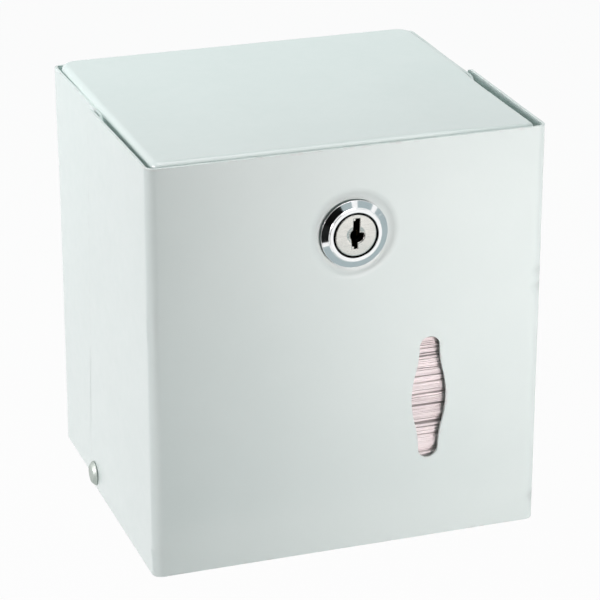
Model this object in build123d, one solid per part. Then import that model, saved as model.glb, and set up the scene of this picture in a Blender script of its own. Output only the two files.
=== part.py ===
from build123d import *
import os
from math import acos, atan2, cos, hypot, pi, radians, sin

# Folded toilet paper dispenser for a wall, in millimetres.
# +Z is up, the front faces -Y and the wall is the plane Y = 0.
# The origin is the centre of the four wall screw holes, in the wall plane.

# Sheet steel
sheet = 1.0
bend_outer = 2.5

# Front cover: one sheet folded into a front and two side walls
cover_width = 135.0
cover_height = 141.0
front_reach = 118.0
cover_rear_lean = 6.0
cover_rear_corner = 3.0

# Wall housing: back plate with a wing folded forward on each side
wing_reach = 61.0
wing_drop = 0.6
wing_rear_corner = 1.5
wing_front_corner = 4.0
side_gap = 0.5
wall_screw_spacing_x = 80.0
wall_screw_spacing_z = 90.0
wall_screw_hole_radius = 2.5

# Top plate: a shallow pressed pan, open side down
top_rise = 1.2
top_front_gap = 0.6
top_flange = 10.0
top_bend = 3.0
top_rear_corner = 6.0
top_front_corner = 4.0

# Paper tray: a shallow pan, open side up, with the dispensing opening
tray_lift = 10.5
tray_front_gap = 2.0
tray_flange = 11.0
tray_lip = 7.0
tray_lip_slope = 14.0
tray_relief = 1.0
opening_width = 78.0
opening_depth = 42.0
opening_corner = 15.0
opening_rim = 2.0
opening_forward = 4.0

# Hinge: a pan head rivet low on each side
pivot_reach = 45.0
pivot_height = 5.2
rivet_shank_radius = 2.5
rivet_head_radius = 4.25
rivet_head_edge = 0.35
rivet_head_height = 1.5
rivet_play = 0.1
rivet_tail_radius = 3.75
rivet_tail_height = 1.5
rivet_tail_taper = 0.6
rivet_crown_radius = 2.3
rivet_running_clearance = 0.06
rivet_seat_clearance = 0.05
spacer_radius = 5.0
spacer_thickness = 0.3
backing_radius = 4.5
backing_thickness = 0.8

# Dish and hole for the lock in the cover
lock_drop = 29.2
lock_shift = 1.0
dish_outer_radius = 19.0
dish_floor_radius = 15.0
dish_depth = 1.0
dish_margin = 1.0
lock_hole_clearance = 0.15

# Refill window in the cover
window_shift = 27.9
window_height_above_edge = 50.8
window_length = 43.5
window_end_half_width = 3.55
window_belly_half_width = 6.1

# Lock barrel
bezel_radius = 11.4
bezel_edge = 0.6
bezel_height = 2.8
lip_outer_radius = 8.4
lip_height = 0.7
barrel_radius = 9.5
barrel_half_flats = 8.0
barrel_length = 17.0
counterbore_depth = 3.2
stop_lug_inner_radius = 7.4
stop_lug_direction = 270.0
stop_lug_angle = 24.0
stop_lug_height = 1.1
stop_lug_inset = 0.1

# Lock plug with its keyway, wafers and tail
plug_head_radius = 7.4
plug_face_recess = 0.5
plug_body_radius = 6.3
plug_clearance = 0.08
plug_end_play = 0.2
plug_countersink_radius = 2.9
plug_countersink_depth = 0.7
keyway_depth = 14.0
key_hole_radius = 2.25
key_slot_upper_width = 2.2
key_slot_upper_reach = 5.4
key_slot_upper_shift = 0.35
key_slot_lower_width = 1.8
key_slot_lower_reach = 4.9
key_slot_lower_shift = -0.3
key_step = 1.1
wafer_count = 5
wafer_first_depth = 4.6
wafer_pitch = 1.9
wafer_thickness = 1.1
wafer_width = 6.4
wafer_height = 10.6
wafer_window_width = 3.4
wafer_window_height = 7.4
wafer_slot_clearance = 0.1
wafer_groove_radius = 7.2
wafer_groove_width = 7.0
tail_square = 8.0
tail_short = 0.1

# Pieces on the lock's tail and body
lock_turn = 90.0
stop_plate_thickness = 1.0
stop_plate_radius = 9.3
stop_play_angle = 1.0
stop_notch_clearance = 0.4
square_clearance = 0.05
cam_thickness = 2.0
cam_hub_radius = 8.0
cam_length = 24.0
cam_tip_radius = 5.0
spring_washer_radius = 3.9
spring_washer_thickness = 0.8
spring_washer_split = 1.0
spring_washer_clearance = 0.15
screw_radius = 2.0
screw_head_radius = 4.0
screw_head_height = 2.6
screw_head_chamfer = 0.8
screw_length = 7.0
screw_end_gap = 0.5
screw_clearance = 0.05
cross_recess_width = 1.0
cross_recess_length = 4.4
cross_recess_depth = 1.5
lock_washer_radius = 13.0
lock_washer_thickness = 0.8
lock_washer_teeth = 10
lock_washer_tooth_depth = 1.0
lock_washer_notch_width = 1.4
nut_across_flats = 24.0
nut_thickness = 3.5
nut_bore_clearance = 0.05

# Latch keeper under the top plate
keeper_thickness = 1.5
keeper_width = 30.0
keeper_leaf = 22.0
keeper_bend = 2.5
keeper_corner = 3.0
keeper_clearance = 2.6
cam_gap = 0.6

# Stack of folded sheets
paper_side_gap = 6.0
paper_front_gap = 2.8
paper_rear_gap = 2.4
paper_headroom = 7.0
bundle_pitch = 4.9
fold_bulge = 0.9
fold_bulge_change = 0.3
fold_bulge_step = 2.3

# Heights, widths and depths that follow from the sizes above
cover_bottom = -cover_height / 2
cover_top = cover_height / 2
cover_half = cover_width / 2
front_face = -front_reach
housing_width = cover_width - 2 * (sheet + side_gap)
inside_width = housing_width - 2 * sheet
housing_top = cover_top - wing_drop
top_surface = cover_top + top_rise
top_front = front_face + sheet + top_front_gap
tray_underside = cover_bottom + tray_lift
tray_front = front_face + sheet + tray_front_gap
tray_floor = tray_underside + sheet
pivot_y = -pivot_reach
pivot_z = cover_bottom + pivot_height
lock_z = cover_top - lock_drop
lock_seat = front_face + dish_depth
nut_corner_radius = nut_across_flats / 2 / cos(pi / 6)
bundle_count = int((lock_z - nut_corner_radius - paper_headroom - tray_floor) / bundle_pitch)
bore_radius = plug_body_radius + plug_clearance
counterbore_radius = plug_head_radius + plug_clearance
plug_face = bezel_height - plug_face_recess
plug_shoulder = bezel_height - counterbore_depth + plug_clearance
tail_start = -barrel_length - plug_end_play
cam_front = tail_start - stop_plate_thickness
cam_back = cam_front - cam_thickness
first_wafer = plug_face - wafer_first_depth
last_wafer = first_wafer - (wafer_count - 1) * wafer_pitch

# Placing frames: local Z points out of the front at the lock, and out of each side at the hinge
lock_frame = Plane(origin=(lock_shift, lock_seat, lock_z), x_dir=(1, 0, 0), z_dir=(0, -1, 0))
right_hinge_frame = Plane(origin=(cover_half, pivot_y, pivot_z), x_dir=(0, 1, 0), z_dir=(1, 0, 0))
left_hinge_frame = Plane(origin=(-cover_half, pivot_y, pivot_z), x_dir=(0, -1, 0), z_dir=(-1, 0, 0))


def ring(outer_radius, inner_radius, low, high):
    """A flat ring about the local Z axis, from low to high."""
    washer = Circle(outer_radius) - Circle(inner_radius)
    return Pos(0, 0, low) * extrude(washer, high - low)


def channel(outer_width, leg):
    """Plan outline of a sheet folded into a web on the X axis and two legs towards +Y."""
    outer = Rectangle(outer_width, leg, align=(Align.CENTER, Align.MIN))
    outer = fillet(outer.vertices().sort_by(Axis.Y)[:2], bend_outer)
    inner = Pos(0, sheet) * Rectangle(outer_width - 2 * sheet, leg, align=(Align.CENTER, Align.MIN))
    inner = fillet(inner.vertices().sort_by(Axis.Y)[:2], bend_outer - sheet)
    return outer - inner


def pan_block(width, rear, front, depth, rear_corner, front_corner, bend):
    """A block with rounded corners and a rounded lower edge, its underside at Z = 0."""
    plan = Pos(0, (rear + front) / 2) * Rectangle(width, rear - front)
    front_vertices = plan.vertices().sort_by(Axis.Y)[:2]
    plan = fillet(front_vertices, front_corner)
    rear_vertices = plan.vertices().sort_by(Axis.Y)[-2:]
    plan = fillet(rear_vertices, rear_corner)
    block = extrude(plan, depth)
    return fillet(block.edges().group_by(Axis.Z)[0], bend)


def pan(width, rear, front, depth, rear_corner, front_corner, bend):
    """A pressed pan of one sheet, open at the top, with its floor's underside at Z = 0."""
    outer = pan_block(width, rear, front, depth, rear_corner, front_corner, bend)
    inner = pan_block(
        width - 2 * sheet,
        rear - sheet,
        front + sheet,
        depth,
        rear_corner - sheet,
        front_corner - sheet,
        bend - sheet,
    )
    return outer - Pos(0, 0, sheet) * inner


def double_arc(start, end, tangent):
    """Two equal arcs that leave start along the tangent and reach end parallel to it."""
    middle = ((start[0] + end[0]) / 2, (start[1] + end[1]) / 2)
    first = TangentArc(start, middle, tangent=tangent)
    second = TangentArc(middle, end, tangent=first % 1)
    return [first, second]


def side_outline():
    """Side view of the cover: a slanted rear edge that ends in an ear round the hinge rivet."""
    top_rear = (pivot_y - cover_rear_lean, cover_top)
    reach = hypot(top_rear[0] - pivot_y, top_rear[1] - pivot_z)
    towards_top = atan2(top_rear[1] - pivot_z, top_rear[0] - pivot_y)
    touch_angle = towards_top - acos(pivot_height / reach)
    middle_angle = (touch_angle - pi / 2) / 2
    ear_low = (pivot_y, cover_bottom)
    ear_middle = (pivot_y + pivot_height * cos(middle_angle), pivot_z + pivot_height * sin(middle_angle))
    ear_high = (pivot_y + pivot_height * cos(touch_angle), pivot_z + pivot_height * sin(touch_angle))
    beyond_front = front_face - sheet
    edges = [
        Line((beyond_front, cover_bottom), ear_low),
        ThreePointArc(ear_low, ear_middle, ear_high),
        Line(ear_high, top_rear),
        Line(top_rear, (beyond_front, cover_top)),
        Line((beyond_front, cover_top), (beyond_front, cover_bottom)),
    ]
    outline = make_face(edges)
    corner = outline.vertices().sort_by_distance(top_rear)[0]
    return fillet(corner, cover_rear_corner)


def window_outline():
    """The refill window: a slot with round ends and a belly at its middle."""
    round_start = window_length / 2 - window_end_half_width
    narrow = window_end_half_width
    belly = window_belly_half_width
    edges = [ThreePointArc((narrow, round_start), (0, window_length / 2), (-narrow, round_start))]
    edges += [ThreePointArc((-narrow, -round_start), (0, -window_length / 2), (narrow, -round_start))]
    for side in (-1, 1):
        edges += double_arc((side * narrow, round_start), (side * belly, 0), (0, -1))
        edges += double_arc((side * belly, 0), (side * narrow, -round_start), (0, -1))
    return make_face(edges)


def dish():
    """The pressed dish that the lock sits in, as a disc of sheet in the lock's frame."""
    level = dish_depth
    edge = dish_outer_radius + dish_margin
    section = Polyline(
        (0, -sheet),
        (0, 0),
        (dish_floor_radius, 0),
        (dish_outer_radius, level),
        (edge, level),
        (edge, level - sheet),
        (dish_outer_radius, level - sheet),
        (dish_floor_radius, -sheet),
        close=True,
    )
    return revolve(Plane.XZ * make_face(section), Axis.Z)


def flatted_disc(radius, half_flats):
    """A disc with a flat on its left and right, as a lock body has."""
    return Circle(radius) & Rectangle(2 * half_flats, 2 * radius)


def front_cover():
    """Folded front cover with the lock dish, the refill window and the hinge holes."""
    plan = Pos(0, front_face) * channel(cover_width, front_reach - sheet)
    body = Pos(0, 0, cover_bottom) * extrude(plan, cover_height)
    side_view = Plane.YZ * side_outline()
    body = body & extrude(side_view, cover_width, both=True)
    body = body - lock_frame * Cylinder(dish_outer_radius + dish_margin, 4 * sheet)
    body = body + lock_frame * dish()
    hole = flatted_disc(barrel_radius + lock_hole_clearance, barrel_half_flats + lock_hole_clearance)
    body = body - lock_frame * extrude(hole, 3 * sheet, both=True)
    window_frame = Plane(
        origin=(window_shift, front_face, cover_bottom + window_height_above_edge),
        x_dir=(1, 0, 0),
        z_dir=(0, -1, 0),
    )
    body = body - window_frame * extrude(window_outline(), 2 * sheet, both=True)
    hinge_hole = Cylinder(rivet_shank_radius + rivet_running_clearance, 2 * cover_width)
    return body - Pos(0, pivot_y, pivot_z) * Rot(0, 90, 0) * hinge_hole


def wall_housing():
    """Back plate and two side wings folded from one sheet, with screw and hinge holes."""
    plan = Rot(0, 0, 180) * channel(housing_width, wing_reach)
    height = housing_top - cover_bottom
    body = Pos(0, 0, cover_bottom) * extrude(plan, height)
    front_corners = body.edges().filter_by(Axis.X).group_by(Axis.Y)[0]
    body = fillet(front_corners, wing_front_corner)
    side_view = Rectangle(2 * wing_reach, height, align=(Align.MAX, Align.MIN))
    top_corner = side_view.vertices().group_by(Axis.X)[-1].sort_by(Axis.Y)[-1]
    side_view = fillet(top_corner, wing_rear_corner)
    body = body & Pos(0, 0, cover_bottom) * extrude(Plane.YZ * side_view, cover_width, both=True)
    screw_hole = Rot(90, 0, 0) * Cylinder(wall_screw_hole_radius, 4 * sheet)
    for side in (-1, 1):
        for level in (-1, 1):
            place = Pos(side * wall_screw_spacing_x / 2, 0, level * wall_screw_spacing_z / 2)
            body = body - place * screw_hole
    hinge_hole = Cylinder(rivet_shank_radius + rivet_seat_clearance, 2 * cover_width)
    return body - Pos(0, pivot_y, pivot_z) * Rot(0, 90, 0) * hinge_hole


def top_plate():
    """Pressed top plate between the wings, its flanges turned down."""
    body = pan(inside_width, -sheet, top_front, top_flange, top_rear_corner, top_front_corner, top_bend)
    return Pos(0, 0, top_surface) * mirror(body, Plane.XY)


def folded_flange(reach, height, length):
    """A floor from X = 0 and the flange bent up from it at X = reach, with its underside at Z = 0."""
    outer = Rectangle(reach, height, align=(Align.MIN, Align.MIN))
    outer = fillet(outer.vertices().group_by(Axis.Y)[0].sort_by(Axis.X)[-1], bend_outer)
    inner = Pos(0, sheet) * Rectangle(reach - sheet, height, align=(Align.MIN, Align.MIN))
    inner = fillet(inner.vertices().group_by(Axis.Y)[0].sort_by(Axis.X)[-1], bend_outer - sheet)
    return extrude(Plane.XZ * (outer - inner), length / 2, both=True)


def paper_tray():
    """Folded tray between the wings: four flanges, a low front lip and a rimmed dispensing opening."""
    length = -sheet - tray_front
    middle = (tray_front - sheet) / 2
    flange_width = inside_width - 2 * (bend_outer + tray_relief)
    flange_length = length - 2 * (bend_outer + tray_relief)
    body = Pos(0, middle) * extrude(Rectangle(flange_width, flange_length), sheet)
    side_flange = folded_flange(inside_width / 2, tray_flange, flange_length)
    for turn in (0, 180):
        body = body + Pos(0, middle) * Rot(0, 0, turn) * side_flange
    body = body + Pos(0, middle) * Rot(0, 0, 90) * folded_flange(length / 2, tray_flange, flange_width)
    body = body + Pos(0, middle) * Rot(0, 0, -90) * folded_flange(length / 2, tray_lip, flange_width)
    lip_start = middle - flange_length / 2
    above = 2 * tray_flange
    cut = Polyline(
        (lip_start - sheet, tray_lip),
        (lip_start, tray_lip),
        (lip_start + tray_lip_slope, tray_flange),
        (lip_start + tray_lip_slope, above),
        (lip_start - sheet, above),
        close=True,
    )
    body = body - extrude(Plane.YZ * make_face(cut), inside_width, both=True)
    centre_y = middle - opening_forward
    hole = RectangleRounded(opening_width, opening_depth, opening_corner)
    collar = offset(hole, sheet)
    body = body + Pos(0, centre_y, -opening_rim) * extrude(collar, opening_rim + sheet)
    body = body - Pos(0, centre_y, -2 * opening_rim) * extrude(hole, 4 * opening_rim)
    return Pos(0, 0, tray_underside) * body


def latch_keeper():
    """Angle under the top plate; the lock's cam turns up behind its hanging leaf."""
    leaf_back = lock_seat - cam_front - cam_gap
    leaf_front = leaf_back - keeper_thickness
    roof = top_surface - sheet
    leaf_low = lock_z + barrel_radius + keeper_clearance
    outer = Pos(leaf_front, roof) * Rectangle(keeper_leaf, roof - leaf_low, align=(Align.MIN, Align.MAX))
    outer = fillet(outer.vertices().group_by(Axis.X)[0].sort_by(Axis.Y)[-1], keeper_bend)
    inner = Pos(leaf_back, roof - keeper_thickness) * Rectangle(
        keeper_leaf, roof - leaf_low, align=(Align.MIN, Align.MAX)
    )
    inner = fillet(inner.vertices().group_by(Axis.X)[0].sort_by(Axis.Y)[-1], keeper_bend - keeper_thickness)
    body = extrude(Plane.YZ * (outer - inner), keeper_width / 2, both=True)
    low_corners = body.edges().filter_by(Axis.Y).group_by(Axis.Z)[0]
    body = fillet(low_corners, keeper_corner)
    rear_corners = body.edges().filter_by(Axis.Z).group_by(Axis.Y)[-1]
    body = fillet(rear_corners, keeper_corner)
    return Pos(lock_shift, 0, 0) * body


def hinge_rivet():
    """Pan head rivet; local Z = 0 is the cover's outer face."""
    head_low = rivet_play
    head_edge = head_low + rivet_head_edge
    head_top = head_low + rivet_head_height
    tail_top = -2 * sheet - side_gap - backing_thickness
    tail_low = tail_top - rivet_tail_height
    profile = Polyline(
        (0, tail_low),
        (rivet_tail_radius - rivet_tail_taper, tail_low),
        (rivet_tail_radius, tail_top),
        (rivet_shank_radius, tail_top),
        (rivet_shank_radius, head_low),
        (rivet_head_radius, head_low),
        (rivet_head_radius, head_edge),
        (rivet_crown_radius, head_top),
        (0, head_top),
        close=True,
    )
    return revolve(Plane.XZ * make_face(profile), Axis.Z)


def hinge_spacer():
    """Thin washer between the cover's side wall and the wing."""
    low = -sheet - side_gap
    return ring(spacer_radius, rivet_shank_radius + rivet_seat_clearance, low, low + spacer_thickness)


def hinge_backing_washer():
    """Washer under the rivet's tail, on the inside of the wing."""
    high = -2 * sheet - side_gap
    return ring(backing_radius, rivet_shank_radius + rivet_seat_clearance, high - backing_thickness, high)


def lock_barrel():
    """Lock body with its conical bezel, raised lip, flats and stop lug."""
    floor = bezel_height - counterbore_depth
    profile = Polyline(
        (bore_radius, -barrel_length),
        (barrel_radius, -barrel_length),
        (barrel_radius, 0),
        (bezel_radius, 0),
        (bezel_radius, bezel_edge),
        (lip_outer_radius, bezel_height - lip_height),
        (lip_outer_radius, bezel_height),
        (counterbore_radius, bezel_height),
        (counterbore_radius, floor),
        (bore_radius, floor),
        close=True,
    )
    body = revolve(Plane.XZ * make_face(profile), Axis.Z)
    keep = extrude(flatted_disc(barrel_radius + 1, barrel_half_flats), -barrel_length)
    bezel_zone = Pos(0, 0, bezel_height) * Cylinder(bezel_radius + 1, 2 * bezel_height)
    body = body & (keep + bezel_zone)
    groove_outline = Circle(wafer_groove_radius) & Rectangle(wafer_groove_width, 2 * wafer_groove_radius)
    groove_length = first_wafer - last_wafer + wafer_pitch
    body = body - Pos(0, 0, last_wafer - wafer_pitch / 2) * extrude(groove_outline, groove_length)
    lug_low = -barrel_length - stop_lug_height
    lug = ring(barrel_radius - stop_lug_inset, stop_lug_inner_radius, lug_low, -barrel_length)
    lug_start = stop_lug_direction - stop_lug_angle / 2
    lug = lug & sector(lug_start, lug_start + stop_lug_angle, 2 * barrel_length)
    return body + lug


def sector(start_angle, end_angle, half_height):
    """A tall wedge about the local Z axis between two angles less than half a turn apart."""
    far = 3 * barrel_radius
    middle = (start_angle + end_angle) / 2
    points = [(0, 0)]
    for angle in (start_angle, middle, end_angle):
        points.append((far * cos(radians(angle)), far * sin(radians(angle))))
    wedge = make_face(Polyline(*points, close=True))
    return extrude(wedge, 2 * half_height, both=True)


def keyway():
    """Keyway outline: a round centre, an upper and a lower slot, and a step in the upper right."""
    upper_half = key_slot_upper_reach / 2
    lower_half = key_slot_lower_reach / 2
    hole = Circle(key_hole_radius)
    step_middle = key_hole_radius + key_slot_upper_shift + key_slot_upper_width / 2
    hole = hole - Pos(step_middle, key_step) * Rectangle(2 * key_hole_radius, 2 * key_step)
    upper = Rectangle(key_slot_upper_width, key_slot_upper_reach)
    lower = Rectangle(key_slot_lower_width, key_slot_lower_reach)
    hole = hole + Pos(key_slot_upper_shift, upper_half) * upper
    return hole + Pos(key_slot_lower_shift, -lower_half) * lower


def lock_plug():
    """Plug that the key turns: head, wafer slots, keyway, square tail and threaded hole."""
    body = Pos(0, 0, plug_shoulder) * extrude(Circle(plug_head_radius), plug_face - plug_shoulder)
    body = body + Pos(0, 0, tail_start) * extrude(Circle(plug_body_radius), plug_shoulder - tail_start)
    tail_length = stop_plate_thickness + cam_thickness - tail_short
    tail = extrude(Rectangle(tail_square, tail_square), tail_length)
    body = body + Pos(0, 0, tail_start - tail_length) * tail
    cone = Pos(0, 0, plug_face - plug_countersink_depth / 2) * Cone(
        key_hole_radius, plug_countersink_radius, plug_countersink_depth
    )
    body = body - cone
    body = body - Pos(0, 0, plug_face - keyway_depth) * extrude(keyway(), keyway_depth + 1)
    slot_width = wafer_width + 2 * wafer_slot_clearance
    slot_thickness = wafer_thickness + 2 * wafer_slot_clearance
    slot = Box(slot_width, 3 * plug_body_radius, slot_thickness)
    for place in wafer_places():
        body = body - place * slot
    hole_depth = screw_length - spring_washer_thickness
    beyond = cam_back - screw_clearance
    hole = Circle(screw_radius + screw_clearance)
    hole = Pos(0, 0, beyond) * extrude(hole, hole_depth + 2 * screw_clearance)
    return body - hole


def wafer_places():
    """Where each wafer lies along the plug."""
    return [Pos(0, 0, first_wafer - index * wafer_pitch) for index in range(wafer_count)]


def plug_wafers():
    """Flat brass wafers in the plug's slots, each with a window for the key."""
    blank = Rectangle(wafer_width, wafer_height) - Rectangle(wafer_window_width, wafer_window_height)
    wafer = extrude(blank, wafer_thickness / 2, both=True)
    return Compound([place * wafer for place in wafer_places()])


def square_hole():
    """Square hole that seats on the plug's tail."""
    side = tail_square + 2 * square_clearance
    return Rectangle(side, side)


def lock_stop_plate():
    """Notched plate that lets the plug turn from one side of the barrel's lug to the other."""
    blank = Circle(stop_plate_radius) - square_hole()
    body = Pos(0, 0, cam_front) * extrude(blank, stop_plate_thickness)
    notch = Circle(2 * stop_plate_radius) - Circle(stop_lug_inner_radius - stop_notch_clearance)
    notch = Pos(0, 0, cam_front - 1) * extrude(notch, stop_plate_thickness + 2)
    start = stop_lug_direction - stop_lug_angle / 2 - stop_play_angle
    end = start + lock_turn + stop_lug_angle + 2 * stop_play_angle
    return body - (notch & sector(start, end, 2 * barrel_length))


def lock_cam():
    """Flat cam on the plug's tail; at rest it points left, clear of the keeper."""
    tip_x = -(cam_length - cam_tip_radius)
    blank = make_hull([Circle(cam_hub_radius).edge(), (Pos(tip_x, 0) * Circle(cam_tip_radius)).edge()])
    return Pos(0, 0, cam_back) * extrude(blank - square_hole(), cam_thickness)


def cam_spring_washer():
    """Split spring washer under the cam screw's head."""
    bore = screw_radius + spring_washer_clearance
    body = ring(spring_washer_radius, bore, cam_back - spring_washer_thickness, cam_back)
    split = Box(2 * spring_washer_radius, spring_washer_split, 4 * spring_washer_thickness)
    split = Pos(spring_washer_radius, 0, cam_back) * split
    return body - split


def cam_screw():
    """Pan head screw with a cross recess, threaded into the plug's tail."""
    head_high = cam_back - spring_washer_thickness
    head = Pos(0, 0, head_high - screw_head_height) * extrude(Circle(screw_head_radius), screw_head_height)
    head = chamfer(head.edges().group_by(Axis.Z)[0], screw_head_chamfer)
    body = head + Pos(0, 0, head_high) * extrude(Circle(screw_radius), screw_length - screw_end_gap)
    for angle in (0, 90):
        arm = Box(cross_recess_length, cross_recess_width, 2 * cross_recess_depth)
        body = body - Pos(0, 0, head_high - screw_head_height) * Rot(0, 0, angle) * arm
    return body


def lock_washer():
    """Toothed washer between the dish and the lock nut."""
    high = -sheet
    body = ring(lock_washer_radius, barrel_radius + nut_bore_clearance, high - lock_washer_thickness, high)
    notch = Box(2 * lock_washer_tooth_depth, lock_washer_notch_width, 4 * lock_washer_thickness)
    for index in range(lock_washer_teeth):
        turn = Rot(0, 0, 360 / lock_washer_teeth * (index + 0.5))
        body = body - turn * Pos(lock_washer_radius, 0, high) * notch
    return body


def lock_nut():
    """Thin hexagon nut that clamps the lock body to the cover."""
    high = -sheet - lock_washer_thickness
    blank = RegularPolygon(nut_corner_radius, 6) - Circle(barrel_radius + nut_bore_clearance)
    return Pos(0, 0, high - nut_thickness) * extrude(blank, nut_thickness)


def paper_stack():
    """Stack of folded sheets, with rounded fold edges at its front."""
    half_width = inside_width / 2 - sheet - paper_side_gap
    rear = -2 * sheet - paper_rear_gap
    front = tray_front + sheet + paper_front_gap
    top = tray_floor + bundle_count * bundle_pitch
    edges = [Line((front, tray_floor), (rear, tray_floor))]
    edges += [Line((rear, tray_floor), (rear, top)), Line((rear, top), (front, top))]
    for index in range(bundle_count):
        low = tray_floor + index * bundle_pitch
        high = low + bundle_pitch
        bulge = fold_bulge + fold_bulge_change * sin(fold_bulge_step * index)
        edges.append(ThreePointArc((front, low), (front - bulge, (low + high) / 2), (front, high)))
    section = Plane.YZ * make_face(edges)
    return extrude(section, half_width, both=True)


pieces = {
    "wall_housing": wall_housing(),
    "top_plate": top_plate(),
    "paper_tray": paper_tray(),
    "latch_keeper": latch_keeper(),
    "front_cover": front_cover(),
    "lock_barrel": lock_frame * lock_barrel(),
    "lock_washer": lock_frame * lock_washer(),
    "lock_nut": lock_frame * lock_nut(),
    "lock_plug": lock_frame * lock_plug(),
    "plug_wafers": lock_frame * plug_wafers(),
    "lock_stop_plate": lock_frame * lock_stop_plate(),
    "lock_cam": lock_frame * lock_cam(),
    "cam_spring_washer": lock_frame * cam_spring_washer(),
    "cam_screw": lock_frame * cam_screw(),
    "paper_stack": paper_stack(),
}
for side, hinge_frame in (("left", left_hinge_frame), ("right", right_hinge_frame)):
    pieces[f"{side}_hinge_rivet"] = hinge_frame * hinge_rivet()
    pieces[f"{side}_hinge_spacer"] = hinge_frame * hinge_spacer()
    pieces[f"{side}_hinge_washer"] = hinge_frame * hinge_backing_washer()

os.makedirs("parts", exist_ok=True)
for name, shape in pieces.items():
    export_step(shape, f"parts/{name}.step")
    print(name, "volume", round(shape.volume, 1), "solids", len(shape.solids()))
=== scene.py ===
"""A folded toilet paper dispenser: a painted sheet steel box with a key lock and a refill window.

The sheet metal pieces are formed as the real ones are: a flat blank is cut out, bent, pressed and
given its thickness. Sizes are in millimetres and become metres when a mesh is made. The frame is
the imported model's: +Z is up, the front faces -Y, and the wall is the plane Y = 0.
"""

import logging
import math
from dataclasses import dataclass, field
from enum import Enum
from typing import Callable, Optional, Sequence

import bpy
import numpy as np
from bpy.types import Material, Node, NodeSocket, NodeTree, Object
from mathutils import Matrix, Vector, geometry


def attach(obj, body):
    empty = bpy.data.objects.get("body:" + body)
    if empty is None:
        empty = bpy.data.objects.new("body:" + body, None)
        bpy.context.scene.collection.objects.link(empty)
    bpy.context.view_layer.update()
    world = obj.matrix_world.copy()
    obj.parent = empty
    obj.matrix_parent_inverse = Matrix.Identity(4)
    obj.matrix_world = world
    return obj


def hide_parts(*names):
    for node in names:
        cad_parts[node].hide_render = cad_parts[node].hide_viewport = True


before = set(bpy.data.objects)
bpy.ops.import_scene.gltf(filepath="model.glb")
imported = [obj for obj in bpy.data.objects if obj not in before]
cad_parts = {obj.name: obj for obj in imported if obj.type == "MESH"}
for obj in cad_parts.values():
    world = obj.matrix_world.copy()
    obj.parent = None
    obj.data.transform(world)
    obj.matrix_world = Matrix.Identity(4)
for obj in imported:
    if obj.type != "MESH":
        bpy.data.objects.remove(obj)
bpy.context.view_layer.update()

LOG = logging.getLogger("dispenser")
MM = 0.001
QUARTER = math.pi / 2
FULL = 2 * math.pi
TINY = 1e-9
SIDES = (-1, 1)
Array = np.ndarray
Numbers = Sequence[float]
Surface = Callable[[Array], Array]


class Body(Enum):
    """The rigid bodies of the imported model."""

    HOUSING = "housing"
    COVER = "cover"
    LOCK_CORE = "lock_core"


class Slot(Enum):
    """The record's material slots."""

    PAINT = "painted_steel"
    CHROME = "lock_chrome"
    NICKEL = "lock_nickel"
    BRASS = "lock_brass"
    ZINC = "zinc_plate"
    RIVET = "rivet_steel"
    NYLON = "nylon"
    PAPER = "paper"


# Sizes that several pieces share


@dataclass(frozen=True)
class BoxSizes:
    """Overall sizes of the folded box, in millimetres."""

    width: float = 135.0
    height: float = 141.0
    reach: float = 118.0
    sheet: float = 1.0
    bend: float = 2.5
    side_gap: float = 0.5
    pivot_y: float = -45.0
    pivot_z: float = -65.3
    ear_radius: float = 5.2
    top_rise: float = 1.2

    @property
    def top(self) -> float:
        """Height of the cover's top edge."""
        return self.height / 2

    @property
    def bottom(self) -> float:
        """Height of the cover's lower edge."""
        return -self.height / 2

    @property
    def half_housing(self) -> float:
        """Half the width over the wings."""
        return self.width / 2 - self.sheet - self.side_gap

    @property
    def half_inside(self) -> float:
        """Half the width between the wings."""
        return self.half_housing - self.sheet


@dataclass(frozen=True)
class LockPlace:
    """Where the lock sits, in millimetres."""

    x: float = 1.0
    z: float = 41.3
    seat_y: float = -117.0
    turn: float = 90.0


BOX = BoxSizes()
LOCK = LockPlace()


# Outlines in the plane of a blank


def unit(vector: Array) -> Array:
    """The direction of one vector."""
    return vector / np.linalg.norm(vector)


def unit_rows(vectors: Array) -> Array:
    """The directions of the vectors along the last axis."""
    return vectors / np.linalg.norm(vectors, axis=-1)[..., None]


def arc_points(
    radius: float, start: float, end: float, steps: int, centre: Numbers = (0, 0)
) -> Array:
    """Points along a circular arc, both ends included.

    Args:
        radius: Radius of the arc.
        start: Angle of the first point, in degrees.
        end: Angle of the last point, in degrees.
        steps: Number of equal steps between the ends.
        centre: Centre of the arc.

    Returns:
        An array of steps + 1 points.
    """
    angles = np.radians(np.linspace(start, end, steps + 1))
    x, y = centre[0] + radius * np.cos(angles), centre[1] + radius * np.sin(angles)
    return np.column_stack([x, y])


def line_points(start: Numbers, end: Numbers, spacing: float) -> Array:
    """Evenly spaced points along a line, both ends included.

    Args:
        start: First point.
        end: Last point.
        spacing: Largest distance between neighbours.

    Returns:
        An array of points.
    """
    a, b = np.asarray(start, float), np.asarray(end, float)
    count = max(1, math.ceil(np.linalg.norm(b - a) / spacing))
    return a + np.linspace(0, 1, count + 1)[:, None] * (b - a)


def closed_loop(*stretches: Array) -> Array:
    """Joins stretches of points into one closed loop and drops repeated points.

    Args:
        stretches: Point arrays in order round the loop.

    Returns:
        The loop, without the first point repeated at its end.
    """
    points = np.vstack(stretches)
    step = np.linalg.norm(points - np.roll(points, 1, axis=0), axis=1)
    return points[step > 1e-6]


def level_run(start: float, end: float, level: float, spacing: float) -> Array:
    """Evenly spaced points along a level line."""
    return line_points((start, level), (end, level), spacing)


def linked(first: Array, second: Array, spacing: float) -> Array:
    """Two stretches joined by straight lines into one closed loop."""
    there = line_points(first[-1], second[0], spacing)
    return closed_loop(first, there, second, line_points(second[-1], first[0], spacing))


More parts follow.
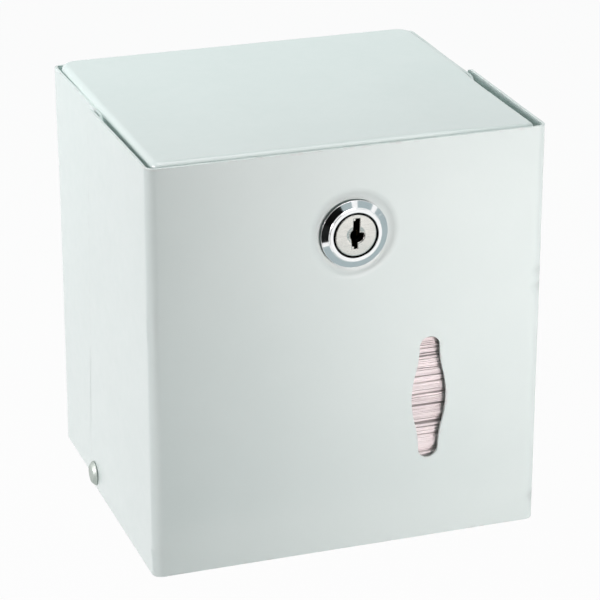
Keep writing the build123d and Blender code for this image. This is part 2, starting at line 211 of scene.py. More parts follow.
def circle_loop(radius: float, steps: int, centre: Numbers = (0, 0)) -> Array:
    """A full circle as a closed loop, counter-clockwise."""
    return arc_points(radius, 0, 360, steps, centre)[:-1]


def rounded_corner(before: Array, corner: Array, after: Array, radius: float, steps: int) -> Array:
    """The arc that rounds a corner between two straight sides.

    Args:
        before: A point on the side that comes first.
        corner: The sharp corner.
        after: A point on the side that comes next.
        radius: Radius of the arc.
        steps: Number of steps along the arc.

    Returns:
        Points along the arc.
    """
    a, b = unit(before - corner), unit(after - corner)
    half = math.acos(np.clip(a @ b, -1, 1)) / 2
    centre = corner + unit(a + b) * radius / math.sin(half)
    start, end = corner + a * radius / math.tan(half), corner + b * radius / math.tan(half)
    first, last = math.atan2(*(start - centre)[::-1]), math.atan2(*(end - centre)[::-1])
    sweep = (last - first + math.pi) % (2 * math.pi) - math.pi
    return arc_points(radius, math.degrees(first), math.degrees(first + sweep), steps, centre)


def rounded_polygon(
    corners: Sequence[Numbers], radii: Numbers, spacing: float, steps: int = 6
) -> Array:
    """A closed polygon with rounded corners.

    Args:
        corners: Sharp corners in order.
        radii: Radius at each corner, 0 for a sharp one.
        spacing: Largest distance between points on the straight sides.
        steps: Steps along each corner's arc.

    Returns:
        The closed loop.
    """
    points = [np.asarray(c, float) for c in corners]
    count = len(points)
    turns = []
    for i, radius in enumerate(radii):
        if radius > 0:
            after = points[(i + 1) % count]
            turns.append(rounded_corner(points[i - 1], points[i], after, radius, steps))
        else:
            turns.append(points[i][None])
    stretches = []
    for i, turn in enumerate(turns):
        stretches += [turn, line_points(turn[-1], turns[(i + 1) % count][0], spacing)]
    return closed_loop(*stretches)


def rounded_box(x: float, y: float, radii: Numbers, spacing: float, steps: int) -> Array:
    """A rectangle about the origin with rounded corners.

    Args:
        x: Half the width.
        y: Half the height.
        radii: One radius for all corners, or one each from the lower left.
        spacing: Largest distance between points on the straight sides.
        steps: Steps along each corner's arc.

    Returns:
        The closed loop.
    """
    each = list(radii) * (4 // len(radii))
    return rounded_polygon([(-x, -y), (x, -y), (x, y), (-x, y)], each, spacing, steps)


def signed_area(loop: Array) -> float:
    """Signed area of a closed loop, positive when counter-clockwise."""
    x, y = loop[:, 0], loop[:, 1]
    return 0.5 * float(np.sum(x * np.roll(y, -1) - np.roll(x, -1) * y))


def wound(loop: Array, counter_clockwise: bool) -> Array:
    """The loop in the asked direction."""
    return loop if (signed_area(loop) > 0) == counter_clockwise else loop[::-1].copy()


def inside_loop(points: Array, loop: Array) -> Array:
    """Which points lie inside a closed loop, by counting crossings.

    Args:
        points: Points to test.
        loop: Closed loop.

    Returns:
        A boolean for each point.
    """
    x, y = points[:, 0][:, None], points[:, 1][:, None]
    x0, y0 = loop[:, 0][None], loop[:, 1][None]
    x1, y1 = np.roll(loop[:, 0], -1)[None], np.roll(loop[:, 1], -1)[None]
    crosses = (y0 > y) != (y1 > y)
    with np.errstate(divide="ignore", invalid="ignore"):
        at = x0 + (y - y0) / (y1 - y0) * (x1 - x0)
    return (np.sum(crosses & (x < at), axis=1) % 2).astype(bool)


def distance_to_loop(points: Array, loop: Array) -> Array:
    """Distance from each point to the nearest side of a closed loop."""
    a, b = loop, np.roll(loop, -1, axis=0)
    side = b - a
    length = np.maximum(np.sum(side * side, axis=1), 1e-12)
    best = np.full(len(points), np.inf)
    for start in range(0, len(points), 512):
        block = points[start : start + 512, None, :]
        t = np.clip(np.sum((block - a) * side, axis=2) / length, 0, 1)
        gap = np.linalg.norm(block - (a + t[..., None] * side), axis=2)
        best[start : start + 512] = gap.min(axis=1)
    return best


def mitres(loop: Array) -> Array:
    """For each point of a loop, the step that moves both its sides left by one unit."""
    ahead = unit_rows(np.roll(loop, -1, axis=0) - loop)
    left = np.column_stack([-ahead[:, 1], ahead[:, 0]])
    both = left + np.roll(left, 1, axis=0)
    scale = 1 + np.sum(left * np.roll(left, 1, axis=0), axis=1)
    return both / np.maximum(scale, 0.25)[:, None]


# Meshes


@dataclass
class Shell:
    """A closed skin in millimetres, with exact normals and how near each point is to a cut edge."""

    points: Array
    faces: list
    normals: Array
    wear: Optional[Array] = None

    def placed(self, place: Matrix) -> "Shell":
        """The shell moved by a rigid placement.

        Args:
            place: Where the shell's own axes lie, in millimetres.

        Returns:
            The moved shell.
        """
        turn, shift = np.array(place.to_3x3()), np.array(place.translation)
        return Shell(self.points @ turn.T + shift, self.faces, self.normals @ turn.T, self.wear)


def ring_faces(first: Array, second: Array) -> list:
    """The four-sided faces between two closed rings of point numbers."""
    sides = [first, np.roll(first, -1), np.roll(second, -1), second]
    return np.column_stack(sides).tolist()


def make_object(name: str, *shells: Shell) -> Object:
    """Makes one object at the origin from its shells.

    Args:
        name: Name of the object.
        shells: The closed skins that it consists of.

    Returns:
        The new object.
    """
    faces, start = [], 0
    for shell in shells:
        faces += [[int(i) + start for i in face] for face in shell.faces]
        start += len(shell.points)
    points = np.vstack([shell.points for shell in shells]) * MM
    normals = np.vstack([shell.normals for shell in shells])
    wear = np.concatenate([np.zeros(len(s.points)) if s.wear is None else s.wear for s in shells])
    mesh = bpy.data.meshes.new(name)
    mesh.from_pydata(points.tolist(), [], faces)
    mesh.update()
    mesh.shade_smooth()
    wears = mesh.attributes.new("edge_wear", "FLOAT", "POINT")
    wears.data.foreach_set("value", wear.astype(np.float32))
    mesh.normals_split_custom_set_from_vertices(normals.tolist())
    thing = bpy.data.objects.new(name, mesh)
    bpy.context.scene.collection.objects.link(thing)
    return thing


@dataclass
class Stamping:
    """A piece cut from flat stock, formed over a surface and rounded along its cut edges."""

    thickness: float
    outline: Array
    surface: Surface
    holes: list = field(default_factory=list)
    guides: list = field(default_factory=list)
    edge_radius: float = 0.15
    edge_steps: int = 3
    wear_width: float = 0.7
    grid: float = 7.0
    margin: float = 1.0

    def frame_at(self, flat: Array) -> tuple:
        """Places flat points on the formed surface.

        Args:
            flat: Points in the blank's plane.

        Returns:
            Points, outward normals and the two unit directions of the blank's axes.
        """
        du, dv = np.array([0.01, 0.0]), np.array([0.0, 0.01])
        steps = (self.surface(flat + d) - self.surface(flat - d) for d in (du, dv))
        along_u, along_v = (unit_rows(step) for step in steps)
        return self.surface(flat), unit_rows(np.cross(along_u, along_v)), along_u, along_v

    def inner_points(self, loops: Sequence[Array]) -> Array:
        """Points inside the blank: the wear rows along its edges, the guides and a plain grid.

        Args:
            loops: The cut edges, already moved in by the edge radius.

        Returns:
            The points.
        """
        near = [loop + mitres(loop) * self.wear_width for loop in loops]
        near = [row[self.clear_of(row, loops, 0.8 * self.wear_width)] for row in near]
        guides = [np.asarray(g, float) for g in self.guides]
        guides = [g[self.clear_of(g, loops, self.margin)] for g in guides]
        fixed = np.vstack(near + guides)
        low, high = loops[0].min(axis=0), loops[0].max(axis=0)
        across = [np.arange(low[k] + self.grid / 2, high[k], self.grid) for k in (0, 1)]
        plain = np.stack(np.meshgrid(*across, indexing="ij"), axis=-1).reshape(-1, 2)
        plain = plain[self.clear_of(plain, loops, self.margin + self.wear_width)]
        gap = np.full(len(plain), np.inf)
        for start in range(0, len(fixed), 256):
            block = fixed[start : start + 256]
            gap = np.minimum(gap, np.linalg.norm(plain[:, None] - block[None], axis=2).min(axis=1))
        return np.vstack([fixed, plain[gap > 0.45 * self.grid]])

    @staticmethod
    def clear_of(points: Array, loops: Sequence[Array], margin: float) -> Array:
        """Which points lie in the material, at least a margin from each cut edge."""
        good = inside_loop(points, loops[0]) & (distance_to_loop(points, loops[0]) >= margin)
        for loop in loops[1:]:
            good &= ~inside_loop(points, loop) & (distance_to_loop(points, loop) >= margin)
        return good

    @staticmethod
    def triangles(loops: Sequence[Array], inner: Array) -> tuple:
        """Triangulates the blank.

        Args:
            loops: The outer loop and the holes.
            inner: Points inside the blank.

        Returns:
            All points, with the loops' points first, and the triangles.
        """
        points = np.vstack(list(loops) + [inner])
        edges, start = [], 0
        for loop in loops:
            index = np.arange(len(loop)) + start
            edges += list(zip(index.tolist(), np.roll(index, -1).tolist()))
            start += len(loop)
        found = geometry.delaunay_2d_cdt([Vector(p) for p in points], edges, [], 0, 1e-7, True)
        where = np.full(len(found[0]), -1)
        for new, old in enumerate(found[3]):
            if old:
                where[new] = old[0]
        corners = np.array([[where[i] for i in f] for f in found[2] if len(f) == 3], int)
        corners = corners[(corners >= 0).all(axis=1)]
        middle = points[corners].mean(axis=1)
        keep = inside_loop(middle, loops[0])
        for loop in loops[1:]:
            keep &= ~inside_loop(middle, loop)
        corners = corners[keep]
        a, b, c = (points[corners[:, k]] for k in range(3))
        ab, ac = b - a, c - a
        turned = ab[:, 0] * ac[:, 1] - ab[:, 1] * ac[:, 0] < 0
        corners[turned] = corners[turned][:, ::-1]
        return points, corners

    def shell(self) -> Shell:
        """Makes the piece: two skins and the rounded rim between them.

        Returns:
            The closed shell.
        """
        cut = [wound(self.outline, True)] + [wound(h, False) for h in self.holes]
        inward = [mitres(loop) for loop in cut]
        radius = self.edge_radius
        loops = [loop + step * radius for loop, step in zip(cut, inward)]
        flat, corners = self.triangles(loops, self.inner_points(loops))
        place, normal, _, _ = self.frame_at(flat)
        count = len(flat)
        rim = sum(len(loop) for loop in loops)
        wear = np.zeros(count)
        wear[:rim] = 1.0
        points = [place, place - self.thickness * normal]
        normals = [normal, -normal]
        wears = [wear, wear]
        faces = corners.tolist() + (corners[:, ::-1] + count).tolist()
        base = 2 * count
        angles = np.linspace(0, QUARTER, self.edge_steps + 1)
        start = 0
        for loop, step in zip(loops, inward):
            length = len(loop)
            rows = [np.arange(start, start + length)]
            falls = [(a, radius * (1 - math.cos(a))) for a in angles[1:]]
            depths = falls + [(math.pi - a, self.thickness - fall) for a, fall in falls[-2::-1]]
            lower = [(QUARTER, self.thickness - radius)]
            for angle, depth in depths[: self.edge_steps] + lower + depths[self.edge_steps :]:
                out = -step * radius * math.sin(angle)
                at, up, along_u, along_v = self.frame_at(loop + out)
                away = unit_rows(-(step[:, :1] * along_u + step[:, 1:] * along_v))
                points.append(at - depth * up)
                normals.append(unit_rows(math.cos(angle) * up + math.sin(angle) * away))
                wears.append(np.ones(length))
                rows.append(np.arange(base, base + length))
                base += length
            rows.append(np.arange(start, start + length) + count)
            for upper, under in zip(rows[:-1], rows[1:]):
                nexts = np.roll(upper, -1), np.roll(under, -1)
                faces += np.column_stack([upper, under, nexts[1], nexts[0]]).tolist()
            start += length
        return Shell(np.vstack(points), faces, np.vstack(normals), np.concatenate(wears))


@dataclass
class Turning:
    """A turned piece: a profile of radius against distance, spun about its own Z axis."""

    profile: Sequence[Numbers]
    rounding: float = 0.1
    steps: int = 3
    around: int = 96
    radii: Optional[Numbers] = None

    def rounded(self) -> tuple:
        """The profile with each corner rounded, and the normals along it.

        Returns:
            Points (radius, distance) and unit normals pointing out of the material.
        """
        corners = np.asarray(self.profile, float)
        count = len(corners)
        radii = list(self.radii or [self.rounding] * count)
        points, normals = [], []
        for i in range(count):
            here, back, ahead = corners[i], corners[i - 1], corners[(i + 1) % count]
            a, b = back - here, ahead - here
            reach = 0.45 * min(np.linalg.norm(a), np.linalg.norm(b))
            a, b = unit(a), unit(b)
            out_a, out_b = np.array([-a[1], a[0]]), np.array([b[1], -b[0]])
            cosine = float(np.clip(a @ b, -1, 1))
            if here[0] <= TINY:
                points.append(here)
                normals.append(np.array([0.0, math.copysign(1, (out_a + out_b)[1])]))
                continue
            if cosine < -0.9999:
                points.append(here)
                normals.append(out_a)
                continue
            half = math.acos(cosine) / 2
            cut = min(radii[i] / math.tan(half), reach)
            radius = cut * math.tan(half)
            centre = here + unit(a + b) * radius / math.sin(half)
            first, last = here + a * cut - centre, here + b * cut - centre
            angle_a, angle_b = math.atan2(first[1], first[0]), math.atan2(last[1], last[0])
            sweep = (angle_b - angle_a + math.pi) % (2 * math.pi) - math.pi
            convex = np.sign(out_a @ first)
            for k in range(self.steps + 1):
                angle = angle_a + sweep * k / self.steps
                ray = np.array([math.cos(angle), math.sin(angle)])
                points.append(centre + radius * ray)
                normals.append(convex * ray)
        return np.array(points), np.array(normals)

    def shell(self) -> Shell:
        """Spins the profile, which runs up the outside and down the inside.

        Returns:
            The closed shell.
        """
        profile, slope = self.rounded()
        angles = np.linspace(0, FULL, self.around, endpoint=False)
        spin = np.stack([np.cos(angles), np.sin(angles)], axis=-1)
        points = np.empty((len(profile), self.around, 3))
        normals = np.empty_like(points)
        for made, flat in ((points, profile), (normals, slope)):
            made[..., :2] = flat[:, 0][:, None, None] * spin[None]
            made[..., 2] = flat[:, 1][:, None]
        faces, count = [], len(profile)
        for row in range(count):
            ahead = (row + 1) % count
            on_axis = profile[row, 0] <= TINY, profile[ahead, 0] <= TINY
            for k in range(self.around if not all(on_axis) else 0):
                nxt = (k + 1) % self.around
                a, b = row * self.around + k, row * self.around + nxt
                c, d = ahead * self.around + nxt, ahead * self.around + k
                if on_axis[0]:
                    faces.append([row * self.around, c, d])
                elif on_axis[1]:
                    faces.append([a, b, ahead * self.around])
                else:
                    faces.append([a, b, c, d])
        used = np.unique(np.concatenate([np.array(f) for f in faces]))
        where = np.full(count * self.around, -1)
        where[used] = np.arange(len(used))
        faces = [[int(where[i]) for i in f] for f in faces]
        return Shell(points.reshape(-1, 3)[used], faces, normals.reshape(-1, 3)[used])


# Finishes


@dataclass
class Recipe:
    """Adds nodes to one tree and links them."""

    tree: NodeTree

    def add(self, kind: str, values: Optional[dict] = None, **settings: object) -> Node:
        """Adds a node.

        Args:
            kind: Node type.
            values: Socket names and their values or the outputs that feed them.
            settings: Properties of the node.

        Returns:
            The node.
        """
        node = self.tree.nodes.new(kind)
        for name, value in settings.items():
            setattr(node, name, value)
        return self.fill(node, values or {})

    def fill(self, node: Node, values: dict) -> Node:
        """Sets or links sockets of a node, by name or index."""
        for name, value in values.items():
            self.feed(node.inputs[name], value)
        return node

    def feed(self, socket: NodeSocket, value: object) -> None:
        """Sets a socket, or links an output to it."""
        if isinstance(value, NodeSocket):
            self.tree.links.new(value, socket)
        else:
            socket.default_value = value

    def maths(self, operation: str, first: object, second: object = 0.0) -> NodeSocket:
        """Result of a sum, product or other operation."""
        return self.add("ShaderNodeMath", {0: first, 1: second}, operation=operation).outputs[0]

    def product(self, first: object, second: object) -> NodeSocket:
        """Product of two values."""
        return self.maths("MULTIPLY", first, second)

    def span(
        self, value: NodeSocket, low: float, high: float, start: float = 0, end: float = 1
    ) -> NodeSocket:
        """Maps a value from low and high to start and end, held at its ends."""
        values = {"Value": value, "From Min": low, "From Max": high, "To Min": start, "To Max": end}
        return self.add("ShaderNodeMapRange", values).outputs[0]

    def axis(self, vector: NodeSocket, index: int) -> NodeSocket:
        """One component of a vector."""
        return self.add("ShaderNodeSeparateXYZ", {0: vector}).outputs[index]

    def along(self, name: str, value: NodeSocket) -> NodeSocket:
        """A vector along the named axis."""
        return self.add("ShaderNodeCombineXYZ", {name: value}).outputs[0]


class Looks(Recipe):
    """Adds the nodes of one material or of the world."""

    def coordinates(
        self, scale: Numbers = (1, 1, 1), turn: Numbers = (0, 0, 0), centre: Numbers = (0, 0, 0)
    ) -> NodeSocket:
        """Object coordinates, centred, turned and scaled.

        Args:
            scale: Factor along each axis.
            turn: Angles in degrees.
            centre: Point that becomes the origin, in metres.

        Returns:
            The vector output.
        """
        source = self.add("ShaderNodeTexCoord").outputs["Object"]
        apart = {0: source, 1: tuple(centre)}
        moved = self.add("ShaderNodeVectorMath", apart, operation="SUBTRACT")
        angles = [math.radians(a) for a in turn]
        values = {"Vector": moved.outputs[0], "Rotation": angles, "Scale": scale}
        return self.add("ShaderNodeMapping", values).outputs["Vector"]

    def noise(
        self, vector: NodeSocket, scale: float, detail: float = 2.0, rough: float = 0.5
    ) -> NodeSocket:
        """Value of a noise texture."""
        values = {"Vector": vector, "Scale": scale, "Detail": detail, "Roughness": rough}
        return self.add("ShaderNodeTexNoise", values).outputs[0]

    def length(self, vector: NodeSocket) -> NodeSocket:
        """Length of a vector."""
        return self.add("ShaderNodeVectorMath", {0: vector}, operation="LENGTH").outputs["Value"]

    def mix(self, factor: object, first: object, second: object) -> NodeSocket:
        """Mixes two colours."""
        values = {0: factor, 6: first, 7: second}
        return self.add("ShaderNodeMix", values, data_type="RGBA").outputs[2]

    def bump(
        self, height: NodeSocket, distance: float, strength: float = 1.0, **under: NodeSocket
    ) -> NodeSocket:
        """Turns a height from 0 to 1 into a shaded relief of the given depth in metres."""
        values = {"Height": height, "Distance": distance, "Strength": strength, **under}
        return self.add("ShaderNodeBump", values).outputs[0]

    def wear(self) -> NodeSocket:
        """How near a point is to a cut edge of its piece, from 0 to 1."""
        return self.add("ShaderNodeAttribute", attribute_name="edge_wear").outputs["Fac"]

    def rays(self) -> tuple:
        """Whether a ray comes from the camera, and whether it is mirrored or refracted."""
        path = self.add("ShaderNodeLightPath").outputs
        mirrored = self.maths("MAXIMUM", path["Is Glossy Ray"], path["Is Transmission Ray"])
        return path["Is Camera Ray"], mirrored

    def settle(self, kind: str, values: dict) -> Optional[NodeSocket]:
        """Sets or links sockets of a node that the tree has from its start.

        Args:
            kind: Type of the node.
            values: Socket names and their values or the outputs that feed them.

        Returns:
            The node's first output, if it has one.
        """
        node = next(n for n in self.tree.nodes if n.type == kind)
        return next(iter(self.fill(node, values).outputs), None)

    def surface(self, values: dict) -> NodeSocket:
        """Sets or links the Principled shader's sockets."""
        return self.settle("BSDF_PRINCIPLED", values)


def start_look(name: str) -> tuple:
    """A new material, and the helper that adds its nodes."""
    material = bpy.data.materials.new(name)
    material.use_nodes = True
    return material, Looks(material.node_tree)


def grey(level: float, tint: Numbers = (0, 0, 0)) -> tuple:
    """A colour near grey, as RGBA."""
    return (level + tint[0], level + tint[1], level + tint[2], 1.0)


@dataclass(frozen=True)
class Finish:
    """A finish, which makes one material."""

    name: str

    def add_nodes(self, mix: Looks) -> None:
        """Adds the nodes and sets the shader.

        Args:
            mix: Node helper of the material.
        """
        raise NotImplementedError

    def make(self) -> Material:
        """Makes the material.

        Returns:
            The finished material.
        """
        material, mix = start_look(self.name)
        self.add_nodes(mix)
        return material


@dataclass(frozen=True)
class PowderCoat(Finish):
    """Pale powder coat: fine orange peel, slight unevenness, and edges rubbed by handling."""

    name: str = "powder_coat"
    colour: tuple = (0.655, 0.757, 0.730, 1.0)
    deeper: tuple = (0.642, 0.745, 0.718, 1.0)
    rubbed: tuple = (0.56, 0.57, 0.56, 1.0)
    rub: float = 0.55
    roughness: float = 0.36
    coat: float = 0.7
    coat_roughness: float = 0.18
    specular: float = 0.45
    peel_scale: float = 620.0
    peel_depth: float = 0.000018
    wave_scale: float = 70.0
    wave_depth: float = 0.00012

    def add_nodes(self, mix: Looks) -> None:
        """Adds the nodes of the coat."""
        where = mix.coordinates()
        cloud = mix.noise(where, 38.0, 3.0)
        fine = mix.noise(where, 260.0, 4.0, 0.6)
        body = mix.mix(mix.span(cloud, 0.35, 0.65), self.deeper, self.colour)
        rub = mix.product(mix.wear(), mix.span(fine, 0.52, 0.68))
        peel = mix.bump(mix.noise(where, self.peel_scale, 2.0, 0.45), self.peel_depth)
        wave = mix.noise(where, self.wave_scale, 1.0)
        mix.surface({
            "Base Color": mix.mix(mix.product(rub, self.rub), body, self.rubbed),
            "Roughness": mix.span(fine, 0.3, 0.7, self.roughness - 0.05, self.roughness + 0.07),
            "Normal": mix.bump(wave, self.wave_depth, 0.35, Normal=peel),
            "Coat Weight": self.coat,
            "Coat Roughness": self.coat_roughness,
            "Specular IOR Level": self.specular,
        })


class Grain(Enum):
    """How a metal's surface was worked."""

    CIRCULAR = "circular"
    PLATED = "plated"
    POLISHED = "polished"


@dataclass(frozen=True)
class Metal(Finish):
    """A bare or plated metal with fine marks of its working.

    Each zone of painted shade, which darkens a recess or gap to near black, is a front Y, a rear Y
    and the widest radius about the centre, all in millimetres.
    """

    colour: tuple
    darker: tuple
    roughness: float
    grain: Grain = Grain.PLATED
    centre: tuple = (0.0, 0.0, 0.0)
    mark_depth: float = 0.000006
    mark_scale: float = 900.0
    tarnish: float = 0.5
    # Painted shade: the zones that darken recesses and gaps, how softly they begin and end, their
    # colour and their strength.
    shaded_zones: tuple = ()
    shade_blend: float = 0.3
    shade_colour: tuple = grey(0.012)
    cover: float = 0.97

    def marks(self, mix: Looks) -> NodeSocket:
        """Height pattern of the working marks.

        Args:
            mix: Node helper of the material.

        Returns:
            A value from 0 to 1.
        """
        if self.grain is Grain.CIRCULAR:
            reach = mix.length(mix.coordinates((1, 0, 1), centre=self.centre))
            lines = mix.noise(mix.along("X", reach), 5200.0, 3.0, 0.7)
            patch = mix.noise(mix.coordinates((1, 1, 1), centre=self.centre), 420.0, 3.0)
            return mix.maths("ADD", mix.product(lines, 0.7), mix.product(patch, 0.3))
        return mix.noise(mix.coordinates(), self.mark_scale, 4.0, 0.6)

    def add_nodes(self, mix: Looks) -> None:
        """Adds the nodes of the metal."""
        cloud = mix.noise(mix.coordinates(), 160.0, 4.0, 0.6)
        scratches = mix.noise(mix.coordinates((1, 1, 9), (20, 35, 50)), 260.0, 5.0, 0.7)
        tone = mix.span(cloud, 0.35, 0.7, 0.0, self.tarnish)
        tone = mix.maths("MAXIMUM", tone, mix.product(mix.wear(), 0.35))
        body = mix.mix(tone, self.colour, self.darker)
        rough = mix.span(scratches, 0.35, 0.75, self.roughness * 0.8, self.roughness * 1.35)
        # Painted shade: each zone darkens the metal between two depths and within a radius,
        # standing in for shade in a recess or gap.
        for front, rear, widest in self.shaded_zones:
            depth = mix.axis(mix.coordinates(), 1)
            reach = mix.length(mix.coordinates((1, 0, 1), centre=self.centre))
            ahead = mix.span(depth, front * MM, (front + self.shade_blend) * MM)
            behind = mix.span(depth, (rear - self.shade_blend) * MM, rear * MM, 1, 0)
            near = mix.maths("LESS_THAN", reach, widest * MM)
            share = mix.product(mix.product(mix.product(ahead, behind), near), self.cover)
            body = mix.mix(share, body, self.shade_colour)
        mix.surface({
            "Base Color": body,
            "Roughness": rough,
            "Normal": mix.bump(self.marks(mix), self.mark_depth, 0.6),
            "Metallic": 1.0,
        })


@dataclass(frozen=True)
class TissuePaper(Finish):
    """Soft uncoated tissue: warm white, fine fibres, and painted shade in level streaks and between
    folds.
    """

    name: str = "tissue_paper"
    colour: tuple = (0.90, 0.868, 0.862, 1.0)
    shade: tuple = (0.71, 0.672, 0.668, 1.0)
    # Painted shade: the dark colour, and the depths over which it darkens fold noses that lie back.
    gap_shade: tuple = (0.10, 0.09, 0.09, 1.0)
    gap_shade_depths: tuple = (-114.3, -111.6)
    roughness: float = 0.92
    specular: float = 0.15
    sheen: float = 0.15

    def add_nodes(self, mix: Looks) -> None:
        """Adds the nodes of the paper; only the noses that lie back get painted shade."""
        # The narrow level streaks darken towards the shade colour: painted shade standing in for
        # the dark lines between layers. The broad patches are random tone.
        streak = mix.noise(mix.coordinates((0.05, 0.25, 1.0)), 1500.0, 3.0, 0.65)
        fibre = mix.noise(mix.coordinates(), 1500.0, 5.0, 0.7)
        broad = mix.noise(mix.coordinates((0.3, 0.3, 1.0)), 130.0, 2.0)
        narrow, wide = mix.span(streak, 0.44, 0.64, 0.0, 0.75), mix.span(broad, 0.4, 0.7, 0.0, 0.45)
        tone = mix.maths("ADD", narrow, wide)
        # Painted shade: noses that face the front and lie back from the front fold are darkened.
        facing = mix.axis(mix.add("ShaderNodeNewGeometry").outputs["Normal"], 1)
        back = mix.span(mix.axis(mix.coordinates(), 1), self.gap_shade_depths[0] * MM, self.gap_shade_depths[1] * MM)
        deep = mix.product(back, mix.span(facing, -0.9, -0.3, 1.0, 0.0))
        mix.surface({
            "Base Color": mix.mix(deep, mix.mix(tone, self.colour, self.shade), self.gap_shade),
            "Roughness": mix.span(fibre, 0.3, 0.7, self.roughness - 0.06, self.roughness + 0.04),
            "Normal": mix.bump(streak, 0.0002, 0.5, Normal=mix.bump(fibre, 0.00012, 0.5)),
            "Sheen Weight": self.sheen,
            "Specular IOR Level": self.specular,
        })


@dataclass(frozen=True)
class NylonWasher(Finish):
    """Milky moulded nylon of the hinge washers."""

    name: str = "nylon_washer"
    colour: tuple = (0.74, 0.73, 0.68, 1.0)
    shade: tuple = (0.66, 0.65, 0.60, 1.0)

    def add_nodes(self, mix: Looks) -> None:
        """Adds the nodes of the nylon."""
        cloud = mix.noise(mix.coordinates(), 240.0, 3.0)
        mix.surface({
            "Base Color": mix.mix(mix.span(cloud, 0.3, 0.7), self.colour, self.shade),
            "Roughness": mix.span(cloud, 0.3, 0.7, 0.38, 0.52),
            "Normal": mix.bump(cloud, 0.00002, 0.5),
            "Subsurface Weight": 0.1,
        })


@dataclass(frozen=True)
class Finishes:
    """Every finish of the dispenser, made once and shared by its pieces."""

    paint: Material
    chrome: Material
    nickel: Material
    brass: Material
    zinc: Material
    spring: Material
    rivet: Material
    nylon: Material
    paper: Material

    @classmethod
    def make(cls) -> "Finishes":
        """Makes all the materials.

        Returns:
            The set of finishes.
        """
        at_lock = (LOCK.x * MM, LOCK.seat_y * MM, LOCK.z * MM)
        # The chrome's zones paint shade into the gap round the plug and under the bezel's edge; the
        # nickel's paints the keyway's inside near black.
        chrome = Metal(
            "lock_chrome_plate", grey(0.95, (-0.010, 0, 0.004)), grey(0.84), 0.07, Grain.POLISHED,
            at_lock, mark_depth=0.000002, mark_scale=700.0, tarnish=0.35,
            shaded_zones=((-119.75, -116.5, 7.72), (-118.28, -117.0, 99.0)), shade_blend=0.08,
        )
        nickel = Metal(
            "lock_satin_nickel", (0.93, 0.905, 0.855, 1.0), (0.82, 0.795, 0.74, 1.0), 0.25,
            Grain.CIRCULAR, at_lock, mark_depth=0.000008, shaded_zones=((-119.45, -100.0, 99.0),),
        )
        brass = Metal(
            "lock_brass_wafer", (0.34, 0.24, 0.11, 1.0), (0.10, 0.07, 0.03, 1.0), 0.45, tarnish=0.9
        )
        zinc = Metal(
            "zinc_plated_steel", (0.64, 0.65, 0.66, 1.0), (0.46, 0.47, 0.48, 1.0), 0.34, tarnish=0.8
        )
        spring = Metal("spring_steel", (0.46, 0.46, 0.47, 1.0), (0.28, 0.28, 0.29, 1.0), 0.38)
        rivet = Metal(
            "rivet_dull_steel", (0.50, 0.56, 0.52, 1.0), (0.36, 0.41, 0.38, 1.0), 0.5,
            mark_scale=500.0, mark_depth=0.00002, tarnish=0.9,
        )
        metals = (chrome, nickel, brass, zinc, spring, rivet)
        made = (PowderCoat(), *metals, NylonWasher(), TissuePaper())
        return cls(*(finish.make() for finish in made))


@dataclass
class Dresser:
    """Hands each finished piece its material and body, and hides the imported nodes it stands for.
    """

    counts: dict = field(default_factory=dict)

    def dress(self, piece: Object, material: Material, slot: Slot, body: Body, *nodes: str) -> None:
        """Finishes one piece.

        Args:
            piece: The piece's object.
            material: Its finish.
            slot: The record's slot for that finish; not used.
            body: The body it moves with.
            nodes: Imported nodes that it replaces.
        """
        piece.data.materials.clear()
        piece.data.materials.append(material)
        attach(piece, body.value)
        if nodes:
            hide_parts(*nodes)
        count = self.counts[piece.name] = len(piece.data.polygons)
        LOG.info("piece %s: %d faces, finish %s", piece.name, count, material.name)


# Bent sheet, seen in plan


def fold(beyond: Array, bend: float) -> tuple:
    """Follows the outside of a sheet round a right angle and straight on.

    Args:
        beyond: Distance along the sheet from the start of the bend, not negative.
        bend: Outer bend radius.

    Returns:
        How far the sheet goes on, and how far it goes aside.
    """
    turn = np.minimum(beyond / bend, QUARTER)
    return bend * np.sin(turn), bend * (1 - np.cos(turn)) + np.maximum(beyond - bend * QUARTER, 0)


def wrap(distance: Array, half_flat: float, bend: float) -> tuple:
    """Follows the outside of a sheet with a flat middle and both sides bent back at a right angle.

    Args:
        distance: Distance along the sheet from its middle.
        half_flat: Half the flat width.
        bend: Outer bend radius.

    Returns:
        Position across, and position back from the flat.
    """
    on, back = fold(np.maximum(np.abs(distance) - half_flat, 0), bend)
    return np.sign(distance) * (np.minimum(np.abs(distance), half_flat) + on), back


def bend_columns(
    half_flat: float, bend: float, low: float, high: float, spacing: float, steps: int = 10
) -> Array:
    """Guide points along both bends of a wrapped sheet."""
    arc, beside = bend * QUARTER, 1.5
    turned = half_flat + np.linspace(0, arc, steps + 1)
    columns = []
    for place in np.concatenate([[half_flat - beside], turned, [half_flat + arc + beside]]):
        column = line_points((place, low), (place, high), spacing)
        columns += [column, column * (-1, 1)]
    return np.vstack(columns)


def hinge_holes(pivot: float, radius: float) -> list:
    """The rivet holes in both sides of a wrapped sheet."""
    return [circle_loop(radius, 28, (side * pivot, BOX.pivot_z)) for side in SIDES]


def double_arc_fall(across: Array, width: float, height: float) -> Array:
    """Height of an S-shaped slope of two equal arcs, from 0 at 0 to height at width."""
    x = np.clip(across, 0, width)
    radius = (width**2 + height**2) / (4 * height)
    first = radius - np.sqrt(radius**2 - np.minimum(x, width / 2) ** 2)
    last = radius - np.sqrt(radius**2 - np.minimum(width - x, width / 2) ** 2)
    return np.where(x < width / 2, first, height - last)


def smooth_step(value: Array) -> Array:
    """Goes smoothly from 0 to 1 as the value does."""
    t = np.clip(value, 0, 1)
    return t * t * (3 - 2 * t)


def lock_matrix() -> Matrix:
    """The lock's own axes: Z points out of the front and Y points up."""
    return Matrix(((1, 0, 0, LOCK.x), (0, 0, -1, LOCK.seat_y), (0, 1, 0, LOCK.z), (0, 0, 0, 1)))


